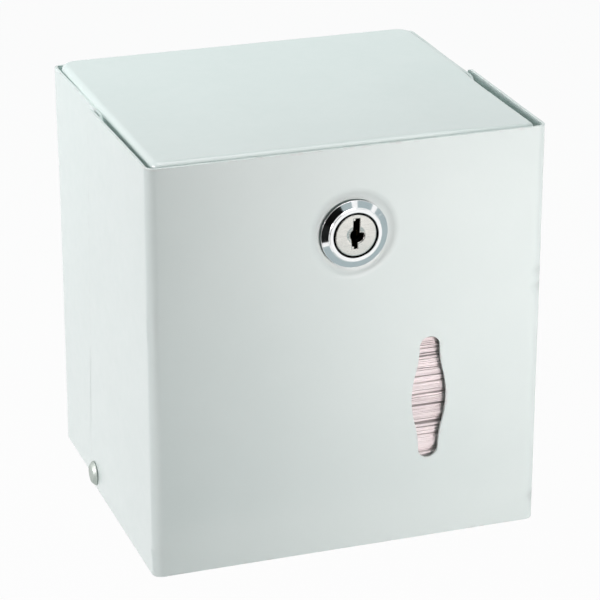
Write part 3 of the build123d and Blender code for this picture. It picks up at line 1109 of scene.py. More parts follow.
def hinge_matrix(side: int) -> Matrix:
    """A hinge's own axes: Z points out of the side, and 0 is the cover's outer face."""
    rows = (0, 0, side, side * BOX.width / 2), (side, 0, 0, BOX.pivot_y), (0, 1, 0, BOX.pivot_z)
    return Matrix((*rows, (0, 0, 0, 1)))


def disc_stamping(outline: Array, thickness: float, high: float, **options: object) -> Shell:
    """A flat stamping in the lock's or a hinge's own axes.

    Args:
        outline: Outline as seen from its upper side.
        thickness: Thickness of the stock.
        high: Height of the upper side.
        options: Other fields of the stamping.

    Returns:
        The shell.
    """

    def level(flat: Array) -> Array:
        """The upper side."""
        return np.column_stack([flat, np.full(len(flat), high)])

    surface = options.pop("surface", level)
    settings = {"grid": 3.0, "margin": 0.3, "wear_width": 0.4, **options}
    return Stamping(thickness, outline, surface, **settings).shell()


def disc_profile(radius: float, low: float, high: float) -> list:
    """The profile of a plain round bar between two heights."""
    return [(0, low), (radius, low), (radius, high), (0, high)]


def flatted_loop(radius: float, half_flats: float, steps: int = 28) -> Array:
    """A circle with a flat on its left and right."""
    edge = math.degrees(math.acos(half_flats / radius))
    upper = arc_points(radius, edge, 180 - edge, steps)
    lower = arc_points(radius, 180 + edge, 360 - edge, steps)
    return linked(upper, lower, 0.8)


# Sheet metal pieces


@dataclass
class FrontCover:
    """Folded front cover with the pressed lock dish and the refill window."""

    bend: float = 3.4
    lean: float = 6.0
    rear_corner: float = 3.0
    dish_floor: float = 11.6
    dish_edge: float = 15.8
    dish_depth: float = 1.0
    hole_radius: float = 9.65
    hole_half_flats: float = 8.15
    window_x: float = 27.9
    window_z: float = -19.7
    window_length: float = 43.5
    window_end: float = 3.55
    window_belly: float = 6.1
    hinge_hole: float = 2.56
    flare: float = 0.5
    ripple: float = 0.05

    @property
    def half_flat(self) -> float:
        """Half the flat width of the front."""
        return BOX.width / 2 - self.bend

    def along(self, y: float) -> float:
        """Distance along the blank of a point on a side wall."""
        return self.half_flat + self.bend * QUARTER + (y + BOX.reach - self.bend)

    def surface(self, flat: Array) -> Array:
        """Outside of the cover.

        Args:
            flat: Points of the blank.

        Returns:
            The formed points.
        """
        across, back = wrap(flat[:, 0], self.half_flat, self.bend)
        reach = np.hypot(flat[:, 0] - LOCK.x, flat[:, 1] - LOCK.z)
        width = self.dish_edge - self.dish_floor
        pressed = double_arc_fall(self.dish_edge - reach, width, self.dish_depth)
        outside = np.abs(flat[:, 0]) - self.half_flat
        out = self.flare * smooth_step((outside - 6) / 62) * smooth_step((flat[:, 1] + 45) / 110)
        calm = 1 - smooth_step((outside + 12) / 12)
        hills = np.sin(flat[:, 0] / 17 + 0.6) * np.cos(flat[:, 1] / 23 - 0.4)
        front = -BOX.reach + back + pressed + self.ripple * calm * (1 + hills)
        return np.column_stack([across + np.sign(flat[:, 0]) * out, front, flat[:, 1]])

    def outline(self) -> Array:
        """Outline of the blank: front and both walls, with an ear round each hinge rivet."""
        pivot = np.array([self.along(BOX.pivot_y), BOX.pivot_z])
        top = np.array([pivot[0] - self.lean, BOX.top])
        reach = np.linalg.norm(top - pivot)
        touch = math.degrees(math.atan2(*(top - pivot)[::-1]) - math.acos(BOX.ear_radius / reach))
        ear = arc_points(BOX.ear_radius, -90, touch, 14, pivot)
        corner = rounded_corner(ear[-1], top, np.array([0.0, BOX.top]), self.rear_corner, 10)
        flat, bent = self.half_flat, self.half_flat + self.bend * QUARTER
        wall = [ear[:-1], line_points(ear[-1], corner[0], 5)[:-1], corner]
        wall += [level_run(corner[-1][0], bent, BOX.top, 5), level_run(bent, flat, BOX.top, 0.4)]
        foot = [level_run(flat, bent, BOX.bottom, 0.4), level_run(bent, pivot[0], BOX.bottom, 5)]
        right = np.vstack(foot + wall)
        top_run, low_run = level_run(flat, -flat, BOX.top, 4), level_run(-flat, flat, BOX.bottom, 4)
        return closed_loop(right, top_run, right[::-1] * (-1, 1), low_run)

    def window(self) -> Array:
        """The refill window: round ends and a belly of double arcs at its middle."""
        start = self.window_length / 2 - self.window_end
        run = np.linspace(0, start, 25)
        swell = double_arc_fall(start - run, start, self.window_belly - self.window_end)
        right_up = np.column_stack([self.window_end + swell, run])
        cap = arc_points(self.window_end, 0, 180, 16, (0, start))
        upper = np.vstack([right_up[:-1], cap, (right_up * (-1, 1))[::-1][1:]])
        return closed_loop(upper, -upper) + (self.window_x, self.window_z)

    def build(self) -> Shell:
        """Forms the cover.

        Returns:
            Its shell.
        """
        lock = (LOCK.x, LOCK.z)
        holes = [flatted_loop(self.hole_radius, self.hole_half_flats) + lock, self.window()]
        holes += hinge_holes(self.along(BOX.pivot_y), self.hinge_hole)
        guides = [bend_columns(self.half_flat, self.bend, BOX.bottom, BOX.top, 6)]
        radii = np.linspace(self.dish_floor - 1.2, self.dish_edge + 1.2, 17)
        guides += [circle_loop(radius, 110, lock) for radius in radii]
        return Stamping(BOX.sheet, self.outline(), self.surface, holes, guides, grid=5.5).shell()


@dataclass
class WallHousing:
    """Back plate with four screw holes and a wing folded forward on each side."""

    reach: float = 61.0
    drop: float = 0.6
    front_corner: float = 4.0
    screw_x: float = 40.0
    screw_z: float = 45.0
    screw_hole: float = 2.5
    hinge_hole: float = 2.55
    spread: float = 0.45

    @property
    def half_flat(self) -> float:
        """Half the flat width of the back."""
        return BOX.half_housing - BOX.bend

    def surface(self, flat: Array) -> Array:
        """Outside of the housing: the wall side and the outer sides of the wings."""
        across, back = wrap(flat[:, 0], self.half_flat, BOX.bend)
        high = smooth_step((flat[:, 1] - 20) / 45) * (1 - smooth_step((back - 8) / 30))
        out = self.spread * high * smooth_step((np.abs(across) - self.half_flat + 4) / 6)
        return np.column_stack([-across - np.sign(across) * out, -back, flat[:, 1]])

    def build(self) -> Shell:
        """Forms the housing.

        Returns:
            Its shell.
        """
        flat, bent = self.half_flat, self.half_flat + BOX.bend * QUARTER
        end, pivot = bent + self.reach - BOX.bend, bent - BOX.pivot_y - BOX.bend
        low, top, front = BOX.bottom, BOX.top - self.drop, self.front_corner
        right = np.vstack([
            level_run(flat, bent, low, 0.45),
            level_run(bent, end - front, low, 5),
            arc_points(front, -90, 0, 10, (end - front, low + front)),
            line_points((end, low + front), (end, top - front), 5),
            arc_points(front, 0, 90, 10, (end - front, top - front)),
            level_run(end - front, bent, top, 5),
            level_run(bent, flat, top, 0.45),
        ])
        top_run, low_run = level_run(flat, -flat, top, 5), level_run(-flat, flat, low, 5)
        outline = closed_loop(right, top_run, right[::-1] * (-1, 1), low_run)
        screws = [(side * self.screw_x, high * self.screw_z) for side in SIDES for high in SIDES]
        holes = [circle_loop(self.screw_hole, 28, place) for place in screws]
        holes += hinge_holes(pivot, self.hinge_hole)
        guides = [bend_columns(flat, BOX.bend, low, top, 7)]
        return Stamping(BOX.sheet, outline, self.surface, holes, guides, grid=7).shell()


def rounded_box_reach(flat: Array, half: Numbers, radius: Array) -> tuple:
    """Signed distance to a rectangle with rounded corners, and the direction away from it.

    Args:
        flat: Points, with the rectangle's middle at the origin.
        half: Half width and half length.
        radius: Corner radius for each point.

    Returns:
        Distance, negative inside, and unit direction.
    """
    sign = np.where(flat < 0, -1.0, 1.0)
    q = np.abs(flat) - np.asarray(half) + radius[:, None]
    outer = np.maximum(q, 0)
    length = np.linalg.norm(outer, axis=1)
    inner = np.minimum(np.max(q, axis=1), 0)
    straight = np.where(q[:, :1] > q[:, 1:], [[1.0, 0.0]], [[0.0, 1.0]])
    bent = outer / np.maximum(length, TINY)[:, None]
    direction = np.where(length[:, None] > TINY, bent, straight)
    return length + inner - radius, direction * sign


@dataclass
class TopPlate:
    """Pressed top plate, its edge rolled over and its flanges turned down."""

    front_gap: float = 0.2
    flange: float = 10.0
    bend: float = 2.2
    right_gap: float = 0.6
    right_drop: float = 0.9
    rear_corner: float = 6.0
    front_corner: float = 4.0
    ripple: float = 0.04

    @property
    def half(self) -> Array:
        """Half width and half length of the flat top inside its bends."""
        front = -BOX.reach + BOX.sheet + self.front_gap
        wide = BOX.half_inside - self.right_gap / 2 - self.bend
        return np.array([wide, (-BOX.sheet - front) / 2 - self.bend])

    @property
    def middle(self) -> float:
        """Y of the plate's middle."""
        return (-BOX.reach + self.front_gap) / 2

    def surface(self, flat: Array) -> Array:
        """Upper and outer side of the plate."""
        corner = np.where(flat[:, 1] < 0, self.front_corner, self.rear_corner) - self.bend
        reach, away = rounded_box_reach(flat, self.half, corner)
        beyond = np.maximum(reach, 0)
        on, fall = fold(beyond, self.bend)
        place = flat + away * (on - beyond)[:, None]
        calm = smooth_step(-reach / 14)
        hills = np.sin(flat[:, 0] / 19 + 1.1) * np.sin(flat[:, 1] / 21 - 0.7)
        wave = self.ripple * calm * (1 + hills)
        forward = smooth_step((14 - flat[:, 1]) / 28)
        drop = self.right_drop * forward * smooth_step((flat[:, 0] - 25) / 37)
        high = BOX.top + BOX.top_rise - fall - wave - drop
        return np.column_stack([place[:, 0] - self.right_gap / 2, place[:, 1] + self.middle, high])

    def loop(self, distance: float) -> Array:
        """The line at a distance outside the flat top."""
        x, y = self.half + distance
        rear = self.rear_corner - self.bend + distance
        front = self.front_corner - self.bend + distance
        return rounded_box(x, y, [front, front, rear, rear], 4, 14)

    def build(self) -> Shell:
        """Forms the top plate.

        Returns:
            Its shell.
        """
        arc = self.bend * QUARTER
        outline = self.loop(arc + self.flange - self.bend)
        distances = np.concatenate([[-0.9, -0.4], np.linspace(0, arc, 11), [arc + 0.8, arc + 3]])
        guides = [self.loop(distance) for distance in distances]
        settings = {"grid": 6, "margin": 0.7}
        return Stamping(BOX.sheet, outline, self.surface, [], guides, **settings).shell()


@dataclass
class PaperTray:
    """Folded tray with four flanges, a low front lip and the rimmed dispensing opening."""

    lift: float = 10.5
    front_gap: float = 2.0
    flange: float = 11.0
    lip: float = 7.0
    lip_slope: float = 14.0
    relief: float = 1.0
    opening_width: float = 78.0
    opening_depth: float = 42.0
    opening_corner: float = 15.0
    opening_forward: float = 4.0
    rim: float = 2.0
    rim_bend: float = 0.6

    @property
    def rear(self) -> float:
        """Y of the rear flange's outer side."""
        return -BOX.sheet

    @property
    def front(self) -> float:
        """Y of the front lip's outer side."""
        return -BOX.reach + BOX.sheet + self.front_gap

    @property
    def half(self) -> tuple:
        """Half width and half length of the flat inside its bends."""
        return BOX.half_inside - BOX.bend, (self.rear - self.front) / 2 - BOX.bend

    def surface(self, flat: Array) -> Array:
        """Underside and outer sides of the tray; the blank's second axis runs to the front."""
        half_x, half_y = self.half
        x, rise_x = wrap(flat[:, 0], half_x, BOX.bend)
        v, rise_y = wrap(flat[:, 1], half_y, BOX.bend)
        hole = flat - (0, self.opening_forward)
        half = (self.opening_width / 2, self.opening_depth / 2)
        reach, away = rounded_box_reach(hole, half, np.full(len(flat), self.opening_corner))
        start = BOX.sheet + self.rim_bend
        path = np.maximum(start - reach, 0)
        on, down = fold(path, self.rim_bend)
        shift = np.where(path > 0, start - on - reach, 0)[:, None] * away
        middle = (self.rear + self.front) / 2
        high = BOX.bottom + self.lift + rise_x + rise_y - down
        return np.column_stack([x + shift[:, 0], middle - v - shift[:, 1], high])

    def opening(self, distance: float) -> Array:
        """The line at a distance outside the opening."""
        x, y = self.opening_width / 2 + distance, self.opening_depth / 2 + distance
        loop = rounded_box(x, y, [self.opening_corner + distance], 3, 20)
        return loop + (0, self.opening_forward)

    def build(self) -> Shell:
        """Forms the tray.

        Returns:
            Its shell.
        """
        arc = BOX.bend * QUARTER
        half_x, half_y = self.half
        cut_x, cut_y = half_x - self.relief, half_y - self.relief
        side, rear = (half + arc + self.flange - BOX.bend for half in (half_x, half_y))
        side_low, lip = (half + arc + self.lip - BOX.bend for half in (half_x, half_y))
        right = [(cut_x, -rear), (cut_x, -cut_y), (side, -cut_y), (side, cut_y - self.lip_slope)]
        right += [(side_low, cut_y), (cut_x, cut_y), (cut_x, lip)]
        rounds = [1.0, 0.5, 1.0, 3.0, 0.6, 0.5, 1.0]
        left = [(-x, y) for x, y in right[::-1]]
        outline = rounded_polygon(right + left, rounds + rounds[::-1], 1.2, 5)
        path = self.rim_bend * QUARTER + self.rim - self.rim_bend
        start = BOX.sheet + self.rim_bend
        rings = [start + 1.0, start]
        rings += [start - self.rim_bend * a for a in np.linspace(0.25, QUARTER, 5)]
        guides = [self.opening(distance) for distance in rings]
        guides.append(bend_columns(half_x, BOX.bend, -cut_y, cut_y, 5, 6))
        guides.append(bend_columns(half_y, BOX.bend, -cut_x, cut_x, 5, 6)[:, ::-1])
        settings = {"grid": 7, "margin": 0.45, "wear_width": 0.4}
        holes = [self.opening(start - path)]
        return Stamping(BOX.sheet, outline, self.surface, holes, guides, **settings).shell()


@dataclass
class LatchKeeper:
    """Angle welded under the top plate, with the leaf that the cam turns up behind."""

    thickness: float = 1.5
    width: float = 30.0
    leaf_front: float = -100.9
    leaf_low: float = 53.4
    roof: float = 70.7
    depth: float = 22.0
    bend: float = 2.5
    corner: float = 3.0

    @property
    def straight(self) -> float:
        """Height of the leaf below its bend."""
        return self.roof - self.leaf_low - self.bend

    def surface(self, flat: Array) -> Array:
        """Front of the leaf and upper side of the roof."""
        on, back = fold(np.maximum(flat[:, 1] - self.straight, 0), self.bend)
        high = self.leaf_low + np.minimum(flat[:, 1], self.straight) + on
        return np.column_stack([flat[:, 0] + LOCK.x, self.leaf_front + back, high])

    def build(self) -> Shell:
        """Forms the keeper.

        Returns:
            Its shell.
        """
        arc, half = self.bend * QUARTER, self.width / 2
        length = self.straight + arc + self.depth - self.bend
        corners = [(-half, 0), (half, 0), (half, length), (-half, length)]
        outline = rounded_polygon(corners, [self.corner] * 4, 0.5, 8)
        rows = [level_run(-half, half, v, 3) for v in self.straight + np.linspace(0, arc, 8)]
        settings = {"grid": 4, "margin": 0.5}
        return Stamping(self.thickness, outline, self.surface, [], rows, **settings).shell()


# Hinges and lock


@dataclass
class Hinge:
    """Rivet, nylon spacer and backing washer of one hinge."""

    side: int
    shank: float = 2.5
    head: float = 4.25
    head_edge: float = 0.35
    head_height: float = 1.5
    crown: float = 3.1
    play: float = 0.1
    tail: float = 3.75
    tail_height: float = 1.5
    tail_taper: float = 0.6
    spacer: float = 5.0
    spacer_thickness: float = 0.3
    washer: float = 4.5
    washer_thickness: float = 0.8

    @property
    def wing_inside(self) -> float:
        """Height of the wing's inner side in the hinge's axes."""
        return -2 * BOX.sheet - BOX.side_gap

    def rivet(self) -> Shell:
        """The pan head rivet with its set tail."""
        tail_top = self.wing_inside - self.washer_thickness
        low = self.play
        profile = [
            (0, tail_top - self.tail_height),
            (self.tail - self.tail_taper, tail_top - self.tail_height),
            (self.tail, tail_top),
            (self.shank, tail_top),
            (self.shank, low),
            (self.head, low),
            (self.head, low + self.head_edge),
            (self.crown, low + self.head_height),
            (0, low + self.head_height),
        ]
        rounds = [0, 0.6, 0.2, 0.1, 0.1, 0.12, 0.25, 0.9, 0]
        turned = Turning(profile, radii=rounds, steps=6, around=64).shell()
        return turned.placed(hinge_matrix(self.side))

    def ring(self, outer: float, low: float, high: float) -> Shell:
        """A washer on the rivet's shank."""
        profile = [(self.shank + 0.05, low), (outer, low), (outer, high), (self.shank + 0.05, high)]
        turned = Turning(profile, rounding=0.08, steps=2, around=56).shell()
        return turned.placed(hinge_matrix(self.side))

    def build(self, dresser: Dresser, finishes: Finishes) -> None:
        """Builds and dresses the hinge.

        Args:
            dresser: Hands out finishes and bodies.
            finishes: The materials.
        """
        word = "right" if self.side > 0 else "left"
        low, high = -BOX.sheet - BOX.side_gap, self.wing_inside
        spacer = self.ring(self.spacer, low, low + self.spacer_thickness)
        washer = self.ring(self.washer, high - self.washer_thickness, high)
        made = (
            ("rivet", self.rivet(), finishes.rivet, Slot.RIVET),
            ("spacer", spacer, finishes.nylon, Slot.NYLON),
            ("washer", washer, finishes.zinc, Slot.ZINC),
        )
        for kind, shell, finish, slot in made:
            piece = make_object(f"{word}_{kind}", shell)
            dresser.dress(piece, finish, slot, Body.HOUSING, f"{word}_hinge_{kind}")


@dataclass
class WaferRow:
    """The brass wafers in the plug, repeated along its axis by Geometry Nodes."""

    count: int = 5
    first: float = -2.3
    pitch: float = 1.9
    thickness: float = 1.1
    width: float = 6.4
    height: float = 10.6
    window_width: float = 3.4
    window_height: float = 7.4

    def blank(self) -> Shell:
        """One wafer in the lock's axes, about its own middle."""
        outline = rounded_box(self.width / 2, self.height / 2, [0.4], 2.0, 3)
        hole = rounded_box(self.window_width / 2, self.window_height / 2, [0.3], 2.0, 3)
        options = {"holes": [hole], "edge_radius": 0.08, "edge_steps": 1, "wear_width": 0.25}
        return disc_stamping(outline, self.thickness, self.thickness / 2, **options)

    def build(self, finish: Material) -> Object:
        """Repeats the wafer along the plug.

        Args:
            finish: Material that the nodes set.

        Returns:
            The row as one plain mesh.
        """
        wafer = make_object("wafer_blank", self.blank().placed(lock_matrix().to_3x3().to_4x4()))
        sockets = {"Wafer": "Object", "Count": "Int", "Pitch": "Float", "Start": "Vector"}
        make = NodeBuilder("wafer_row", sockets)
        line = make.line(make.inputs["Count"], make.along("Y", make.inputs["Pitch"]))
        tree = make.close(make.repeated(line, make.inputs["Wafer"]), finish)
        values = {
            "Wafer": wafer,
            "Count": self.count,
            "Pitch": self.pitch * MM,
            "Start": (LOCK.x * MM, (LOCK.seat_y - self.first) * MM, LOCK.z * MM),
        }
        made = run_nodes("wafers", tree, values)
        bpy.data.objects.remove(wafer)
        return made


@dataclass
class CamLock:
    """Cam lock: barrel, plug, wafers, stop plate, cam, screw, nut and two washers."""

    bezel: float = 11.4
    bezel_edge: float = 1.35
    bezel_seat: float = 9.9
    bezel_undercut: float = 0.92
    bezel_height: float = 2.8
    lip: float = 8.95
    lip_height: float = 0.65
    barrel: float = 9.5
    half_flats: float = 8.0
    length: float = 17.0
    counterbore: float = 7.62
    counterbore_depth: float = 3.2
    bore: float = 6.38
    thread_pitch: float = 1.5
    thread_depth: float = 0.55
    lug_inner: float = 7.4
    lug_direction: float = 270.0
    lug_angle: float = 24.0
    lug_height: float = 1.1
    head: float = 7.08
    face_recess: float = 0.02
    face_crown: float = 0.05
    plug_body: float = 6.3
    end_play: float = 0.2
    dip_radius: float = 2.9
    dip_depth: float = 0.4
    face_chamfer: float = 0.3
    key_depth: float = 14.0
    hole: float = 2.25
    hole_shift: tuple = (0.45, -0.15)
    upper_slot: tuple = (2.15, 5.7, 0.2)
    lower_slot: tuple = (1.95, 4.6, -0.4)
    step: float = 0.6
    wards: tuple = ((-0.9, 4.95, 0.75), (-1.4, -4.55, 0.8))
    tail: float = 8.0
    plate: float = 9.3
    plate_thickness: float = 1.0
    cam_thickness: float = 2.0
    cam_hub: float = 8.0
    cam_reach: float = 19.0
    cam_tip: float = 5.0
    square: float = 8.1
    spring: float = 3.9
    spring_thickness: float = 0.8
    screw: float = 2.0
    screw_head: float = 4.0
    screw_head_height: float = 2.6
    recess: tuple = (1.0, 4.4, 1.5)
    washer: float = 13.0
    washer_thickness: float = 0.8
    teeth: int = 10
    nut_flats: float = 24.0
    nut_thickness: float = 3.5

    @property
    def plate_front(self) -> float:
        """Front of the stop plate along the lock's axis."""
        return -self.length - self.end_play

    @property
    def cam_back(self) -> float:
        """Rear of the cam along the lock's axis."""
        return self.plate_front - self.plate_thickness - self.cam_thickness

    def bezel_shell(self) -> Shell:
        """Conical bezel, raised lip, counterbore and inner sleeve of the barrel."""
        sleeve = self.half_flats - 0.05
        profile = [
            (self.bore, -self.length + 0.05),
            (sleeve, -self.length + 0.05),
            (sleeve, 0),
            (self.bezel_seat, 0),
            (self.bezel_seat, self.bezel_undercut),
            (self.bezel, self.bezel_undercut),
            (self.bezel, self.bezel_edge),
            (self.lip + 0.12, self.bezel_height - self.lip_height),
            (self.lip, self.bezel_height),
            (self.counterbore, self.bezel_height),
            (self.counterbore, self.bezel_height - self.counterbore_depth),
            (self.bore, self.bezel_height - self.counterbore_depth),
        ]
        rounds = [0.2, 0.2, 0.1, 0.1, 0.1, 0.1, 0.22, 0.2, 0.22, 0.18, 0.1, 0.1]
        return Turning(profile, radii=rounds, steps=6, around=128).shell()

    def thread_shell(self) -> Shell:
        """Threaded outside of the barrel with its two flats."""
        around, rows = 144, 92
        angles = np.linspace(0, FULL, around, endpoint=False)
        levels = np.linspace(0.0, -self.length, rows)

        def place(angle: Array, level: Array) -> Array:
            """Point of the threaded surface."""
            phase = (level / self.thread_pitch + angle / FULL) % 1.0
            cut = self.thread_depth * np.clip(1.35 * np.abs(2 * phase - 1) - 0.1, 0, 1)
            fade = smooth_step((level + self.length) / 0.8)
            radius = self.barrel - 0.02 - cut * fade - 0.5 * (1 - fade)
            x, y = radius * np.cos(angle), radius * np.sin(angle)
            return np.stack([np.clip(x, -self.half_flats, self.half_flats), y, level], axis=-1)

        turn, level = np.meshgrid(angles, levels)
        points = place(turn, level)
        along = place(turn + 0.01, level) - place(turn - 0.01, level)
        up = place(turn, level + 0.02) - place(turn, level - 0.02)
        normals = unit_rows(np.cross(along, up))
        flat = np.abs(points[..., 0]) > self.half_flats - 1e-6
        normals[flat] = np.sign(points[flat][:, :1]) * np.array([[1.0, 0.0, 0.0]])
        index = np.arange(rows * around).reshape(rows, around)
        faces = [face for high, low in zip(index[:-1], index[1:]) for face in ring_faces(low, high)]
        shape, slopes = points.reshape(-1, 3), normals.reshape(-1, 3)
        for ring, sign in ((index[0], 1.0), (index[-1][::-1], -1.0)):
            outer, start = shape[ring], np.arange(around) + len(shape)
            faces += ring_faces(start, start + around)
            shape = np.vstack([shape, outer, 0.82 * outer * (1, 1, 0) + outer * (0, 0, 1)])
            slopes = np.vstack([slopes, np.tile([[0.0, 0.0, sign]], (2 * around, 1))])
        return Shell(shape, faces, slopes)

    def lug_shell(self) -> Shell:
        """Stop lug at the barrel's rear."""
        half = self.lug_angle / 2
        start, end = self.lug_direction - half, self.lug_direction + half
        outer = arc_points(self.barrel - 0.1, start, end, 8)
        outline = closed_loop(outer, arc_points(self.lug_inner, end, start, 6))
        return disc_stamping(outline, self.lug_height + 0.3, -self.length + 0.3, edge_radius=0.12)

    def keyway(self) -> Array:
        """Keyway outline: a round middle, an upper and a lower slot and a square step."""
        steps, nearest = 720, 0.16
        grid = np.radians(np.arange(steps) * 360 / steps)
        distances = np.linspace(0.0, self.upper_slot[1] + 0.6, 1201)
        edge = []
        for ray in np.column_stack([np.cos(grid), np.sin(grid)]):
            points = distances[:, None] * ray
            edge.append(points[np.flatnonzero(~self.in_keyway(points))[0]])
        keep = edge[:1]
        for point in edge[1:]:
            if np.linalg.norm(point - keep[-1]) > nearest:
                keep.append(point)
        return np.array(keep)

    def in_keyway(self, points: Array) -> Array:
        """Which points lie in the keyway."""
        x, y = points[:, 0], points[:, 1]
        wide, far, shift = self.upper_slot
        upper = (np.abs(x - shift) < wide / 2) & (y >= 0) & (y < far)
        wide_low, far_low, shift_low = self.lower_slot
        lower = (np.abs(x - shift_low) < wide_low / 2) & (y <= 0) & (y > -far_low)
        stepped = (x > shift + 0.4 * wide) & (y > self.step)
        aside, down = self.hole_shift
        return upper | lower | ((np.hypot(x - aside, y - down) < self.hole) & ~stepped)

    def face_surface(self, flat: Array) -> Array:
        """Front of the plug with its shallow dip round the keyway."""
        reach = np.hypot(flat[:, 0], flat[:, 1])
        outer = self.dip_radius + 0.5
        slope = np.clip((outer - reach) / (outer - self.hole), 0, 1)
        crown = self.face_crown * (reach / self.head) ** 2
        edge = np.maximum(reach - self.head + self.face_chamfer, 0) / self.face_chamfer
        fall = 0.2 * edge * edge
        high = self.bezel_height - self.face_recess - self.dip_depth * slope * slope - crown - fall
        return np.column_stack([flat, high])

    def square_loop(self, width: float, corner: float) -> Array:
        """A square with rounded corners about the lock's axis."""
        return rounded_box(width / 2, width / 2, [corner], 2, 4)

    def plug_shells(self) -> list:
        """Head, keyed body, tail and square of the plug."""
        key = self.keyway()
        face = self.bezel_height - self.face_recess
        radii = (2.4, 2.6, 2.8, 3.0, 3.2, 3.4, 3.7, 4.4, 5.3, 6.2, 6.7, 6.95)
        fine = {"surface": self.face_surface, "holes": [key], "edge_radius": 0.22, "edge_steps": 5}
        fine |= {"guides": [circle_loop(radius, 72) for radius in radii]}
        fine |= {"grid": 1.6, "margin": 0.2, "wear_width": 0.3}
        head = disc_stamping(circle_loop(self.head, 96), 2.6, face, **fine)
        wards = []
        for left, low, size in self.wards:
            right, high = left + size, low + size
            corners = [(left, low), (right, low), (right, high), (left, high)]
            outline = rounded_polygon(corners, [0.15] * 4, 0.5, 3)
            small = {"edge_radius": 0.1, "wear_width": 0.2, "margin": 0.1}
            wards.append(disc_stamping(outline, 1.5, face - 0.2, **small))
        body_high, body_low = face - 2.5, face - self.key_depth
        plain = {"holes": [key], "edge_radius": 0.05, "edge_steps": 1}
        round_body = circle_loop(self.plug_body, 72)
        body = disc_stamping(round_body, body_high - body_low, body_high, **plain)
        rear = Turning(disc_profile(self.plug_body, self.plate_front, body_low), around=72).shell()
        drilled = {"holes": [circle_loop(self.screw, 36)], "edge_radius": 0.2}
        reach = self.plate_thickness + self.cam_thickness - 0.1
        tail = disc_stamping(self.square_loop(self.tail, 0.5), reach, self.plate_front, **drilled)
        return [head, body, rear, tail] + wards

    def plate_shell(self) -> Shell:
        """Notched stop plate."""
        half = self.lug_angle / 2
        start, end = self.lug_direction - half - 1, self.lug_direction + LOCK.turn + half + 1
        outer = arc_points(self.plate, end - 360, start, 64)
        outline = closed_loop(outer, arc_points(self.lug_inner - 0.4, start, end, 32))
        options = {"holes": [self.square_loop(self.square, 0.4)], "edge_radius": 0.12}
        return disc_stamping(outline, self.plate_thickness, self.plate_front, **options)

    def cam_shell(self) -> Shell:
        """Flat cam: a round hub that narrows to a round tip."""
        lean = math.degrees(math.asin((self.cam_hub - self.cam_tip) / self.cam_reach))
        hub = arc_points(self.cam_hub, -90 - lean, 90 + lean, 40)
        tip = arc_points(self.cam_tip, 90 + lean, 270 - lean, 24, (-self.cam_reach, 0))
        high = self.plate_front - self.plate_thickness
        hole = self.square_loop(self.square, 0.4)
        options = {"holes": [hole], "edge_radius": 0.3, "edge_steps": 4}
        return disc_stamping(linked(hub, tip, 1.5), self.cam_thickness, high, **options)

    def spring_shell(self) -> Shell:
        """Split spring washer with a slight lead."""
        split = math.degrees(math.asin(0.5 / 3.0))
        outer = arc_points(self.spring, split, 360 - split, 48)
        outline = closed_loop(outer, arc_points(self.screw + 0.15, 360 - split, split, 36))
        return disc_stamping(outline, self.spring_thickness, self.cam_back, edge_radius=0.12)

    def screw_shells(self) -> list:
        """Pan head screw with a cross recess, seen from the rear."""
        half, reach = self.recess[0] / 2, self.recess[1] / 2
        low = self.cam_back - self.spring_thickness
        corners = [(half, -reach), (half, -half), (reach, -half)]
        corners += [(reach, half), (half, half), (half, reach)]
        cross = rounded_polygon(corners + [(-x, -y) for x, y in corners], [0.15] * 12, 0.6, 2)

        def dome(flat: Array) -> Array:
            """Rear of the head, seen from behind."""
            far = np.hypot(flat[:, 0], flat[:, 1])
            fall = 0.9 * (far / self.screw_head) ** 3
            return np.column_stack([-flat[:, 0], flat[:, 1], low - self.screw_head_height + fall])

        fine = {"guides": [circle_loop(radius, 40) for radius in (2.6, 3.0, 3.35, 3.6)]}
        fine |= {"surface": dome, "holes": [cross], "edge_radius": 0.2}
        fine |= {"grid": 0.9, "margin": 0.15, "wear_width": 0.25}
        head = disc_stamping(circle_loop(self.screw_head, 56), self.recess[2], 0.0, **fine)
        under = low - self.screw_head_height + self.recess[2] - 0.1
        seat = [(0, under), (self.screw_head, low - 0.9), (self.screw_head, low), (0, low)]
        seated = Turning(seat, rounding=0.15, around=56).shell()
        shank = Turning(disc_profile(self.screw, low, low + 6.5), rounding=0.3, around=40).shell()
        return [head, seated, shank]

    def washer_shell(self) -> Shell:
        """Toothed washer between the dish and the nut."""
        half_cut = math.degrees(math.asin(0.7 / self.washer))
        pitch = 360 / self.teeth
        stretches = []
        for index in range(self.teeth):
            middle = pitch * index
            low, high = middle - pitch / 2 + half_cut, middle + pitch / 2 - half_cut
            stretches.append(arc_points(self.washer, low, high, 8))
            stretches.append(arc_points(self.washer - 1.0, high, high + 2 * half_cut, 2))
        hole = flatted_loop(self.barrel + 0.05, self.half_flats + 0.05)
        options = {"holes": [hole], "edge_radius": 0.1}
        return disc_stamping(closed_loop(*stretches), self.washer_thickness, -BOX.sheet, **options)

    def nut_shell(self) -> Shell:
        """Thin hexagon nut with broken corners."""
        corner = self.nut_flats / 2 / math.cos(math.pi / 6)
        angles = [math.radians(60 * k) for k in range(6)]
        corners = [(corner * math.cos(a), corner * math.sin(a)) for a in angles]
        outline = rounded_polygon(corners, [0.8] * 6, 1.5, 4)
        hole = circle_loop(self.barrel + 0.05, 80)
        options = {"holes": [hole], "edge_radius": 0.35, "edge_steps": 4}
        high = -BOX.sheet - self.washer_thickness
        return disc_stamping(outline, self.nut_thickness, high, **options)

